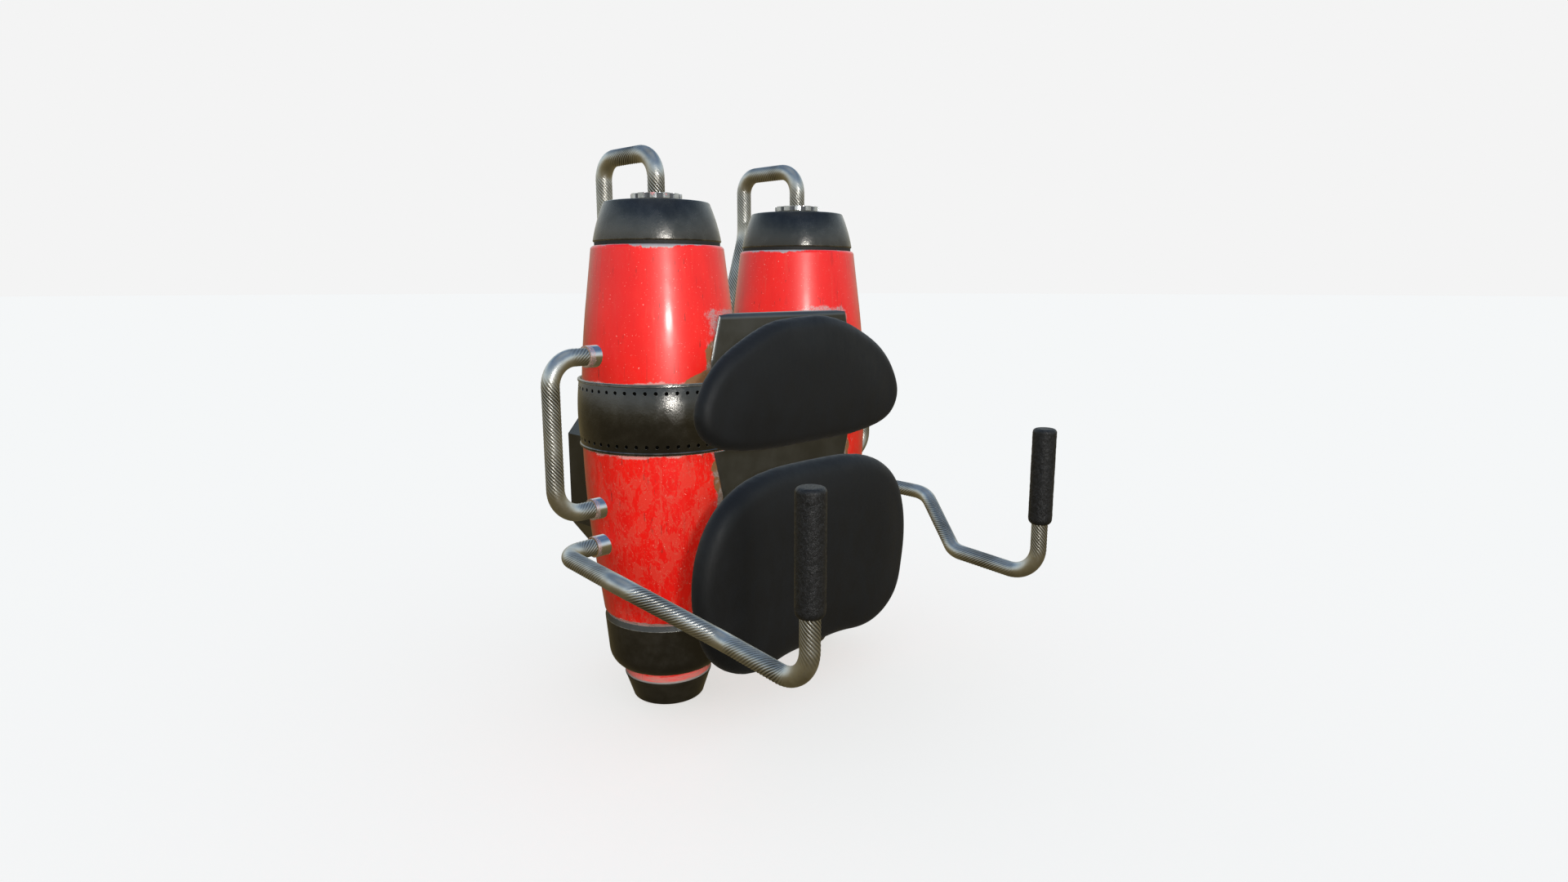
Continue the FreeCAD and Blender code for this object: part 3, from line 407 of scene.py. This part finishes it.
def ribbed_steel():
    """Steel pipe with painted shade darkening the grooves between its fine slanting ribs; rubbed bends are
    nearly smooth.
    """
    s = Shader("pipe_steel")
    groove = s.node("ShaderNodeAttribute", attribute_name="groove").outputs["Fac"]
    grime = s.noise(130.0, 5.0, 0.7)
    cloud = s.noise(26.0, 4.0, 0.6)
    fine = s.noise(900.0, 3.0, 0.6)
    metal = s.mix(s.step(cloud, 0.35, 0.7), (0.60, 0.61, 0.60), (0.45, 0.44, 0.41))
    # painted shade: the colour darkens with groove depth between the ribs
    colour = s.mix(s.math("MINIMUM", s.times(groove, 1.15), 1.0), metal, (0.040, 0.034, 0.022))
    colour = s.mix(s.step(grime, 0.55, 0.8, 0.0, 0.25), colour, (0.20, 0.18, 0.13))
    roughness = s.plus(s.step(grime, 0.3, 0.8, 0.34, 0.44), s.times(groove, 0.12))
    normal = s.bump(grime, 0.08, 0.0012, s.bump(fine, 0.10, 0.0002))
    return s.finish(Base_Color=colour, Roughness=roughness, Metallic=1.0, Normal=normal)


def worn_chrome():
    """Bright collar whose outer half keeps a rubbed ring of red paint."""
    s = Shader("collar_chrome")
    across = s.math("ABSOLUTE", s.axis("X"))
    grain = s.noise(650.0, 5.0, 0.7)
    patch = s.noise(130.0, 4.0, 0.6)
    ragged = s.plus(across, s.times(s.minus(patch, 0.5), 0.012))
    clear = s.blend_value(s.math("GREATER_THAN", s.axis("Z"), 0.5), tank_x + 0.1300, tank_x + 0.1272)
    painted = s.step(s.minus(ragged, clear), 0.0, 0.0012)
    kept = s.step(s.plus(grain, s.times(patch, 0.35)), 0.42, 0.68, 1.0, 0.15)
    speckled = s.times(painted, kept)
    colour = s.mix(speckled, s.mix(patch, (0.68, 0.69, 0.72), (0.50, 0.50, 0.53)), (0.72, 0.20, 0.19))
    roughness = s.blend_value(speckled, s.step(patch, 0.3, 0.8, 0.10, 0.28), 0.45)
    metal = s.minus(1.0, s.times(speckled, 0.85))
    normal = s.bump(s.plus(speckled, s.times(grain, 0.3)), 0.25, 0.0003)
    return s.finish(Base_Color=colour, Roughness=roughness, Metallic=metal, Normal=normal)


def machined_steel(name, base, traces, lobes=0.0):
    """Turned steel with fine marks; the valve wheels have traces of red and painted shade between their
    lobes.
    """
    s = Shader(name)
    grain = s.noise(480.0, 5.0, 0.7)
    patch = s.noise(90.0, 4.0, 0.6)
    red = s.step(s.plus(patch, s.times(grain, 0.25)), 0.77, 0.83, 0.0, traces)
    colour = s.mix(s.step(patch, 0.3, 0.7), base, tuple(channel * 0.55 for channel in base))
    colour = s.mix(red, colour, (0.62, 0.16, 0.15))
    roughness = s.blend_value(red, s.step(grain, 0.3, 0.8, 0.22, 0.42), 0.6)
    metal = s.minus(1.0, s.times(red, 0.9))
    if lobes:
        # painted shade: the notch sides between the wheel's lobes turn dark and rough
        between = s.times(s.step(tank_radius(s), lobes - 0.0030, lobes - 0.0008, 1.0, 0.0),
                          s.math("LESS_THAN", s.axis("Z"), wheel_top - 0.0004))
        colour = s.mix(between, colour, (0.20, 0.21, 0.23))
        roughness = s.blend_value(between, roughness, 0.75)
    return s.finish(Base_Color=colour, Roughness=roughness, Metallic=metal,
                    Normal=s.bump(grain, 0.15, 0.0003))


def cushion_cloth():
    """Matte black coated cloth: a fine square weave, faint creases and a soft sheen."""
    s = Shader("cushion_cloth")
    pitch = 0.0016
    warp = s.math("SINE", s.times(s.axis("X"), 2 * math.pi / pitch))
    weft = s.math("SINE", s.times(s.axis("Z"), 2 * math.pi / pitch))
    weave = s.math("MULTIPLY_ADD", s.times(warp, weft), 0.5, 0.5)
    crease = s.noise(70.0, 6.0, 0.62, vector=s.stretch((1.0, 1.0, 0.45)))
    cloud = s.noise(11.0, 4.0)
    tone = s.plus(s.times(crease, 0.5), s.times(cloud, 0.6))
    colour = s.mix(s.step(tone, 0.35, 0.8), (0.0020, 0.0024, 0.0031), (0.0038, 0.0044, 0.0054))
    colour = s.mix(s.times(weave, 0.35), colour, (0.0085, 0.0092, 0.0110))
    creases = s.bump(crease, 0.12, 0.0018)
    normal = s.bump(weave, 0.30, 0.00030, creases)
    roughness = s.step(crease, 0.3, 0.8, 0.50, 0.64)
    return s.finish(Base_Color=colour, Roughness=roughness, Normal=normal,
                    Sheen_Weight=0.05, Sheen_Roughness=0.5, Sheen_Tint=(0.35, 0.40, 0.50),
                    Specular_IOR_Level=0.32)


def grip_leather():
    """Black wrinkled leather grain."""
    s = Shader("grip_leather")
    long_way = s.stretch((1.0, 1.0, 0.8))
    wrinkle = s.noise(190.0, 5.0, 0.62, vector=long_way, distortion=1.2)
    pores = s.cells(900.0)
    colour = s.mix(s.step(wrinkle, 0.35, 0.7), (0.0030, 0.0032, 0.0038), (0.0105, 0.0110, 0.0125))
    deep = s.bump(wrinkle, 0.75, 0.0016)
    normal = s.bump(pores, 0.25, 0.0003, deep)
    roughness = s.step(wrinkle, 0.3, 0.75, 0.56, 0.40)
    return s.finish(Base_Color=colour, Roughness=roughness, Normal=normal, Specular_IOR_Level=0.38)


def coated_metal(name, base, roughness):
    """Dark coated sheet metal with a soft orange-peel surface and rubbed grain."""
    s = Shader(name)
    peel = s.noise(230.0, 3.0, 0.5)
    cloud = s.noise(12.0, 4.0, 0.6)
    grain = s.noise(700.0, 4.0, 0.7)
    colour = s.mix(s.step(cloud, 0.35, 0.75), base, tuple(channel * 1.4 for channel in base))
    colour = s.mix(s.step(grain, 0.68, 0.76, 0.0, 0.15), colour, (0.28, 0.27, 0.25))
    rough = s.step(cloud, 0.3, 0.8, roughness - 0.06, roughness + 0.10)
    return s.finish(Base_Color=colour, Roughness=rough, Metallic=0.92, Normal=s.bump(peel, 0.02, 0.0008))


def plain_rubber(name, base):
    """Matte grained rubber or plastic."""
    s = Shader(name)
    grain = s.noise(420.0, 4.0, 0.6)
    colour = s.mix(grain, base, tuple(channel * 1.7 for channel in base))
    return s.finish(Base_Color=colour, Roughness=s.step(grain, 0.3, 0.8, 0.6, 0.8),
                    Normal=s.bump(grain, 0.2, 0.0004))


def turned_brass():
    """Bright turned brass."""
    s = Shader("valve_brass")
    grain = s.noise(300.0, 5.0, 0.6)
    colour = s.mix(grain, (0.62, 0.42, 0.16), (0.38, 0.24, 0.08))
    return s.finish(Base_Color=colour, Roughness=s.step(grain, 0.3, 0.8, 0.22, 0.45), Metallic=1.0,
                    Normal=s.bump(grain, 0.15, 0.0003))


def stained_board():
    """Dark stained plywood with faint upright grain."""
    s = Shader("board_wood")
    rings = s.noise(30.0, 6.0, 0.6, vector=s.stretch((1.0, 1.0, 0.08)))
    colour = s.mix(rings, (0.050, 0.040, 0.030), (0.022, 0.017, 0.013))
    return s.finish(Base_Color=colour, Roughness=0.65, Normal=s.bump(rings, 0.2, 0.0005))


materials = {
    "tank_paint": tank_paint(),
    "black_cast": cast_black("black_cast", (0.060, 0.059, 0.057), 0.21, 0.20),
    "pipe_steel": ribbed_steel(),
    "collar_chrome": worn_chrome(),
    "wheel_steel": machined_steel("wheel_steel", (0.66, 0.70, 0.77), 0.70, wheel_radius),
    "fastener_steel": machined_steel("fastener_steel", (0.42, 0.42, 0.41), 0.0),
    "valve_brass": turned_brass(),
    "cylinder_alloy": machined_steel("cylinder_alloy", (0.60, 0.60, 0.60), 0.0),
    "plate_metal": coated_metal("plate_metal", (0.088, 0.091, 0.092), 0.34),
    "casing_metal": coated_metal("casing_metal", (0.060, 0.060, 0.058), 0.32),
    "cushion_cloth": cushion_cloth(),
    "grip_leather": grip_leather(),
    "sleeve_plastic": plain_rubber("sleeve_plastic", (0.03, 0.03, 0.03)),
    "seal_rubber": plain_rubber("seal_rubber", (0.006, 0.006, 0.006)),
    "board_wood": stained_board(),
}

slot_of = {entry["node"]: entry["material_slot"] for entry in frame["record"]["subparts"]}
for node, thing in NODES.items():
    thing.data.materials.clear()
    thing.data.materials.append(materials[slot_of[node]])


# --- pieces ---------------------------------------------------------------------------------------

def add_piece(name, mesh, slot, body, *replaced):
    """Finished piece: smooth shaded, in its slot's material, moving with its body."""
    piece = bpy.data.objects.new(name, mesh)
    bpy.context.scene.collection.objects.link(piece)
    mesh.materials.append(materials[slot])
    mesh.polygons.foreach_set("use_smooth", [True] * len(mesh.polygons))
    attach(piece, body)
    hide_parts(*replaced)
    return piece


def bent_line(points, bends, pitch):
    """Points along straight runs joined by tangent arcs, with the share of bending at each."""
    line = [(points[0], 0.0)]
    start = points[0]
    for corner, after, radius in zip(points[1:-1], points[2:], bends):
        inward = (start - corner).normalized()
        onward = (after - corner).normalized()
        half_turn = (math.pi - inward.angle(onward)) / 2
        reach = radius * math.tan(half_turn)
        arc_start = corner + inward * reach
        run = (arc_start - line[-1][0]).length
        first = line[-1][0]
        count = max(1, round(run / pitch))
        line += [(first.lerp(arc_start, i / count), 0.0) for i in range(1, count + 1)]
        centre = corner + (inward + onward).normalized() * (radius / math.cos(half_turn))
        spoke = arc_start - centre
        axis = (-inward).cross(onward).normalized()
        steps = max(6, round(radius * 2 * half_turn / pitch))
        for i in range(1, steps + 1):
            share = i / steps
            turn = Matrix.Rotation(2 * half_turn * share, 3, axis)
            line.append((centre + turn @ spoke, math.sin(math.pi * share)))
        start = line[-1][0]
    first = line[-1][0]
    count = max(1, round((points[-1] - first).length / pitch))
    line += [(first.lerp(points[-1], i / count), 0.0) for i in range(1, count + 1)]
    return line


def pipe_mesh(name, points, bends, radius):
    """Closed pipe whose surface has fine ribs slanting at 45 degrees, rubbed away at the bends."""
    line = bent_line(points, bends, 3 * MM)
    places = [place for place, bend in line]
    ribs = round(2 * math.pi * radius / RIB_PITCH)
    around = ribs * 4
    lead = ribs * RIB_PITCH
    # the share of bending, averaged over nine rows, tells how far the ribs are rubbed away
    spread = np.convolve([bend for place, bend in line], np.ones(9) / 9, "same")
    maker = bmesh.new()
    groove = maker.verts.layers.float.new("groove")
    distance = 0.0
    rows = []
    for i, place in enumerate(places):
        tangent = (places[min(i + 1, len(places) - 1)] - places[max(i - 1, 0)]).normalized()
        if i:
            side = last.rotation_difference(tangent) @ side
            distance += (place - places[i - 1]).length
        else:
            side = tangent.orthogonal().normalized()
        last = tangent
        up = tangent.cross(side).normalized()
        patch = 0.75 + 0.5 * noise.noise(place * 30.0)
        height = max(0.0, min(1.0, patch) - 0.85 * min(1.0, 1.4 * spread[i])) * RIB_HEIGHT
        row = []
        for k in range(around):
            angle = 2 * math.pi * (k / around - distance / lead)
            depth = (0.5, 1.0, 0.5, 0.0)[k % 4] * height
            out = side * math.cos(angle) + up * math.sin(angle)
            vertex = maker.verts.new(place + out * (radius - depth))
            vertex[groove] = depth / RIB_HEIGHT
            row.append(vertex)
        rows.append(row)
    for row, after in zip(rows, rows[1:]):
        for k in range(around):
            n = (k + 1) % around
            maker.faces.new([row[k], row[n], after[n], after[k]])
    maker.faces.new(rows[0][::-1])
    maker.faces.new(rows[-1])
    mesh = bpy.data.meshes.new(name)
    maker.to_mesh(mesh)
    maker.free()
    return mesh


def pipes():
    """The three formed pipes of each side, on the same routes as their CAD solids."""
    for side, sign in SIDES:
        axis = tank_axis[side]

        def spot(x, y, z):
            return Vector((axis.x + sign * x, tank_y + y, z))

        loop_low, loop_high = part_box(side + "_side_loop")
        loop_radius = (loop_high.y - loop_low.y) / 2
        far = max(abs(loop_low.x), abs(loop_high.x)) - loop_radius - tank_x
        near = min(abs(loop_low.x), abs(loop_high.x)) - tank_x
        low = loop_low.z + loop_radius
        high = loop_high.z - loop_radius
        points = [spot(near, 0, high), spot(far, 0, high), spot(far, 0, low), spot(near, 0, low)]
        mesh = pipe_mesh(side + "_side_pipe", points, LOOP_BENDS, loop_radius)
        add_piece(side + "_side_pipe", mesh, "pipe_steel", "frame", side + "_side_loop")

        top_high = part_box(side + "_top_pipe")[1]
        crown = top_high.z - PIPE_RADIUS
        back = top_high.y - PIPE_RADIUS - tank_y
        union = middle(side + "_pipe_union")
        inward = abs(union.x) - tank_x
        casing_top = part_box("rear_casing")[1].z
        boss_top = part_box(side + "_valve_body")[1].z
        points = [
            spot(0, 0, boss_top - 0.018),
            spot(0, 0, crown),
            spot(0, back, crown),
            spot(0, back, 0.752),
            spot(inward, back, casing_top + 0.030),
            spot(inward, back, casing_top - 0.019),
        ]
        mesh = pipe_mesh(side + "_crown_pipe", points, CROWN_BENDS, PIPE_RADIUS)
        add_piece(side + "_crown_pipe", mesh, "pipe_steel", "frame", side + "_top_pipe")

        pivot = middle(side + "_arm_clip")
        grip = middle(side + "_hand_grip")
        grip_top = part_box(side + "_hand_grip")[1].z
        reach = abs(grip.x) - tank_x
        front = grip.y - tank_y
        points = [
            spot(0.098, 0, pivot.z),
            spot(0.188, 0, pivot.z),
            spot(0.1993, -0.1525, pivot.z - 0.0045),
            spot(0.1185, -0.270, pivot.z - 0.0738),
            spot(reach, front, pivot.z - 0.0872),
            spot(reach, front, grip_top - 0.0085),
        ]
        mesh = pipe_mesh(side + "_arm_pipe", points, ARM_BENDS, PIPE_RADIUS)
        add_piece(side + "_arm_pipe", mesh, "pipe_steel", side + "_arm", side + "_arm_tube")


def simulate_pad(mesh, back, cap):
    """Cloth under pressure: the pad swells, its skin settles evenly and its back stays on the board."""
    work = bpy.data.objects.new("pad_work", mesh)
    bpy.context.scene.collection.objects.link(work)
    bpy.context.view_layer.objects.active = work
    held = work.vertex_groups.new(name="held")
    held.add([v.index for v in mesh.vertices if v.co.y > back - 0.004], 1.0, "REPLACE")
    start = np.array([v.co for v in mesh.vertices])
    cloth = work.modifiers.new("cloth", "CLOTH")
    cloth.settings.use_pressure = True
    cloth.settings.uniform_pressure_force = 4.0
    cloth.settings.vertex_group_mass = "held"
    cloth.settings.effector_weights.gravity = 0.0
    cloth.settings.tension_stiffness = 40.0
    cloth.settings.compression_stiffness = 40.0
    cloth.settings.shear_stiffness = 20.0
    cloth.settings.bending_stiffness = 8.0
    cloth.settings.quality = 6
    for number in range(1, SETTLE_FRAMES + 1):
        bpy.context.scene.frame_set(number)
    settled = work.evaluated_get(bpy.context.evaluated_depsgraph_get()).to_mesh()
    end = np.array([v.co for v in settled.vertices])
    shift = end - start
    length = np.linalg.norm(shift, axis=1, keepdims=True)
    shift *= np.minimum(1.0, cap / np.maximum(length, 1e-9))
    pairs = np.array([edge.vertices[:] for edge in mesh.edges])
    neighbours = np.bincount(pairs.ravel(), minlength=len(start))[:, None]
    for _ in range(SMOOTH_PASSES):
        total = np.zeros_like(shift)
        np.add.at(total, pairs[:, 0], shift[pairs[:, 1]])
        np.add.at(total, pairs[:, 1], shift[pairs[:, 0]])
        shift = total / neighbours
    mesh.vertices.foreach_set("co", (start + shift).ravel())
    bpy.data.objects.remove(work)
    bpy.context.scene.frame_set(1)
    return mesh


def remeshed(source, voxel, name):
    """Even voxel skin over a copy of a mesh."""
    work = bpy.data.objects.new("skin_work", source)
    bpy.context.scene.collection.objects.link(work)
    skin = work.modifiers.new("skin", "REMESH")
    skin.mode = "VOXEL"
    skin.voxel_size = voxel
    smooth = work.modifiers.new("smooth", "SMOOTH")
    smooth.iterations = 4
    depsgraph = bpy.context.evaluated_depsgraph_get()
    mesh = bpy.data.meshes.new_from_object(work.evaluated_get(depsgraph))
    mesh.name = name
    bpy.data.objects.remove(work)
    return mesh


def subdivided(mesh):
    """Evened out and twice as fine."""
    work = bpy.data.objects.new("fine_work", mesh)
    bpy.context.scene.collection.objects.link(work)
    even = work.modifiers.new("even", "SMOOTH")
    even.iterations = 5
    fine = work.modifiers.new("fine", "SUBSURF")
    fine.levels = 1
    depsgraph = bpy.context.evaluated_depsgraph_get()
    result = bpy.data.meshes.new_from_object(work.evaluated_get(depsgraph))
    result.name = mesh.name
    bpy.data.objects.remove(work)
    return result


def cushions():
    """The two back cushions: their CAD solids drawn in a little, then swollen by cloth pressure."""
    for node, name in (("upper_cushion", "upper_back_pad"), ("lower_cushion", "lower_back_pad")):
        low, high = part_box(node)
        centre = (low + high) / 2
        mesh = NODES[node].data.copy()
        mesh.materials.clear()
        for vertex in mesh.vertices:
            vertex.co.x = centre.x + (vertex.co.x - centre.x) * PAD_SCALE[0]
            vertex.co.z = centre.z + (vertex.co.z - centre.z) * PAD_SCALE[2]
            vertex.co.y = high.y + (vertex.co.y - high.y) * PAD_SCALE[1]
        mesh = remeshed(mesh, 0.005, name)
        mesh = simulate_pad(mesh, high.y, PAD_SWELL)
        mesh = subdivided(mesh)
        pad = add_piece(name, mesh, "cushion_cloth", "frame", node)


def grips():
    """Hand grips with real wrinkles in their surface."""
    for side, sign in SIDES:
        node = side + "_hand_grip"
        low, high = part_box(node)
        centre = (low + high) / 2
        radius = (high.x - low.x) / 2
        heel, heel_rise, crown_round = 0.0098, 0.0085, 0.006
        profile = [(SOCKET_RADIUS, low.z)]
        profile += [
            (radius - heel + heel * math.cos(a), low.z + heel_rise - heel * math.sin(a))
            for a in (0.85, 0.65, 0.45, 0.22)]
        steps = 150
        body_low = low.z + heel_rise
        body_high = high.z - crown_round
        profile += [(radius, body_low + (body_high - body_low) * i / steps) for i in range(steps + 1)]
        profile += [
            (radius - crown_round + crown_round * math.cos(a), body_high + crown_round * math.sin(a))
            for a in (0.3, 0.6, 0.9, 1.2, 1.5)]
        profile += [(radius - 0.008, high.z), (radius - 0.013, high.z)]
        maker = bmesh.new()
        rows = []
        around = 120
        for r, z in profile:
            row = []
            for k in range(around):
                angle = 2 * math.pi * k / around
                spot = Vector((centre.x + r * math.cos(angle), centre.y + r * math.sin(angle), z))
                if r > SOCKET_RADIUS and z < high.z - 0.0001:
                    wave = noise.noise(Vector((spot.x, spot.y, spot.z * 0.8)) * 210.0)
                    fine = noise.noise(spot * 520.0)
                    inset = 0.00035 * (1 + wave) + 0.00012 * (1 + fine)
                    spot.x -= math.cos(angle) * inset
                    spot.y -= math.sin(angle) * inset
                row.append(maker.verts.new(spot))
            rows.append(row)
        for row, after in zip(rows, rows[1:]):
            for k in range(around):
                n = (k + 1) % around
                maker.faces.new([row[k], row[n], after[n], after[k]])
        crown = maker.verts.new((centre.x, centre.y, high.z))
        for k in range(around):
            maker.faces.new([rows[-1][k], rows[-1][(k + 1) % around], crown])
        socket = [maker.verts.new((v.co.x, v.co.y, high.z - 0.0055)) for v in rows[0]]
        for k in range(around):
            n = (k + 1) % around
            maker.faces.new([rows[0][n], rows[0][k], socket[k], socket[n]])
        maker.faces.new(socket[::-1])
        mesh = bpy.data.meshes.new(side + "_grip_cover")
        bmesh.ops.recalc_face_normals(maker, faces=maker.faces)
        maker.to_mesh(mesh)
        maker.free()
        add_piece(side + "_grip_cover", mesh, "grip_leather", side + "_grip", node)


pipes()
cushions()
grips()


# --- studio ---------------------------------------------------------------------------------------

def camera():
    """Front left of the unit, a little above its middle, looking slightly down."""
    lens = bpy.data.cameras.new("camera")
    lens.lens = 19.72
    lens.sensor_width = 36.0
    lens.clip_end = 200.0
    eye = bpy.data.objects.new("camera", lens)
    eye.location = (-0.9818, -0.94275, 0.6645)
    eye.rotation_euler = (math.radians(90.0 - 10.38), 0.0, math.radians(-45.99))
    bpy.context.scene.collection.objects.link(eye)
    bpy.context.scene.camera = eye


def soft_light(name, place, target, size, power, colour):
    """Rectangular lamp at a place, turned to face a target."""
    lamp = bpy.data.lights.new(name, "AREA")
    lamp.shape = "RECTANGLE"
    lamp.size, lamp.size_y = size
    lamp.energy = power
    lamp.color = colour
    holder = bpy.data.objects.new(name, lamp)
    holder.location = place
    holder.rotation_euler = (Vector(target) - Vector(place)).to_track_quat("-Z", "Y").to_euler()
    bpy.context.scene.collection.objects.link(holder)
    return holder


def sky(tree, height, stops):
    """World colour that depends only on how high the ray points, from straight down to straight up."""
    ramp = tree.nodes.new("ShaderNodeValToRGB")
    tree.links.new(height, ramp.inputs["Fac"])
    elements = ramp.color_ramp.elements
    for element, (position, colour) in zip(elements, (stops[0], stops[-1])):
        element.position, element.color = position, (*colour, 1.0)
    for position, colour in stops[1:-1]:
        elements.new(position).color = (*colour, 1.0)
    background = tree.nodes.new("ShaderNodeBackground")
    tree.links.new(ramp.outputs["Color"], background.inputs["Color"])
    return background


def studio():
    """Pale floor and backdrop, a low key light in front, a bright horizon, warm below and blue above."""
    world = bpy.data.worlds.new("studio")
    world.use_nodes = True
    tree = world.node_tree
    tree.nodes.clear()
    out = tree.nodes.new("ShaderNodeOutputWorld")
    seen = tree.nodes.new("ShaderNodeBackground")
    seen.inputs["Color"].default_value = (0.905, 0.905, 0.905, 1.0)
    spot = tree.nodes.new("ShaderNodeTexCoord")
    split = tree.nodes.new("ShaderNodeSeparateXYZ")
    tree.links.new(spot.outputs["Generated"], split.inputs[0])
    rise = tree.nodes.new("ShaderNodeMapRange")
    rise.inputs["From Min"].default_value = -1.0
    tree.links.new(split.outputs["Z"], rise.inputs["Value"])
    ambient = sky(tree, rise.outputs[0], (
        (0.0, (0.045, 0.034, 0.016)), (0.40, (0.060, 0.046, 0.022)), (0.49, (0.10, 0.085, 0.055)),
        (0.53, (0.34, 0.38, 0.40)), (0.68, (0.42, 0.52, 0.68)), (1.0, (0.25, 0.33, 0.50))))
    mirrored = sky(tree, rise.outputs[0], (
        (0.0, (0.12, 0.095, 0.045)), (0.25, (0.18, 0.14, 0.065)), (0.42, (0.22, 0.175, 0.085)),
        (0.49, (0.34, 0.29, 0.16)), (0.54, (0.62, 0.60, 0.50)), (0.62, (0.85, 0.90, 0.88)),
        (0.72, (0.75, 0.88, 0.95)), (0.82, (0.30, 0.42, 0.56)), (0.90, (0.11, 0.20, 0.37)),
        (1.0, (0.45, 0.51, 0.56))))
    path = tree.nodes.new("ShaderNodeLightPath")
    indirect = tree.nodes.new("ShaderNodeMixShader")
    tree.links.new(path.outputs["Is Glossy Ray"], indirect.inputs[0])
    tree.links.new(ambient.outputs[0], indirect.inputs[1])
    tree.links.new(mirrored.outputs[0], indirect.inputs[2])
    mix = tree.nodes.new("ShaderNodeMixShader")
    tree.links.new(path.outputs["Is Camera Ray"], mix.inputs[0])
    tree.links.new(indirect.outputs[0], mix.inputs[1])
    tree.links.new(seen.outputs[0], mix.inputs[2])
    tree.links.new(mix.outputs[0], out.inputs["Surface"])
    bpy.context.scene.world = world
    bpy.context.scene.view_settings.view_transform = "Standard"

    maker = bmesh.new()
    bmesh.ops.create_circle(maker, cap_ends=True, radius=60.0, segments=96)
    ground = bpy.data.meshes.new("floor")
    maker.to_mesh(ground)
    maker.free()
    floor = bpy.data.objects.new("floor", ground)
    floor.location.z = -0.0005
    s = Shader("floor")
    ground.materials.append(s.finish(Base_Color=(0.80, 0.72, 0.56), Roughness=1.0, Specular_IOR_Level=0.0,
                                     Emission_Color=(0.65, 0.63, 0.615), Emission_Strength=1.0))
    floor.visible_glossy = False
    floor.visible_diffuse = False
    bpy.context.scene.collection.objects.link(floor)
    floor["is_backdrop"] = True

    lit_things = bpy.data.collections.new("lit_things")
    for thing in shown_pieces():
        lit_things.objects.link(thing)
    key = soft_light("key", (-1.41, -2.65, 1.15), (0.0, 0.0, 0.62), (0.42, 0.20), 34.0, (1.0, 0.97, 0.92))
    washes = (
        soft_light("fill", (-1.85, -3.12, 1.62), (0.0, 0.0, 0.5), (2.5, 2.5), 120.0, (1.0, 0.96, 0.90)),
        soft_light("top", (0.3, 0.4, 3.0), (0.0, 0.0, 0.4), (2.5, 2.5), 30.0, (0.86, 0.92, 1.0)),
        soft_light("side", (-2.8, 0.9, 1.0), (0.0, 0.0, 0.4), (0.6, 1.6), 8.0, (0.88, 0.93, 1.0)),
        soft_light("back", (1.6, 2.6, 1.6), (0.0, 0.0, 0.4), (2.0, 1.6), 40.0, (1.0, 0.97, 0.93)))
    for lamp in washes:
        lamp.visible_glossy = False
    washes[0].data.use_shadow = False
    for thing in lit_things.objects:
        thing.visible_glossy = False
    for lamp in (key, *washes):
        lamp.light_linking.receiver_collection = lit_things


camera()
studio()
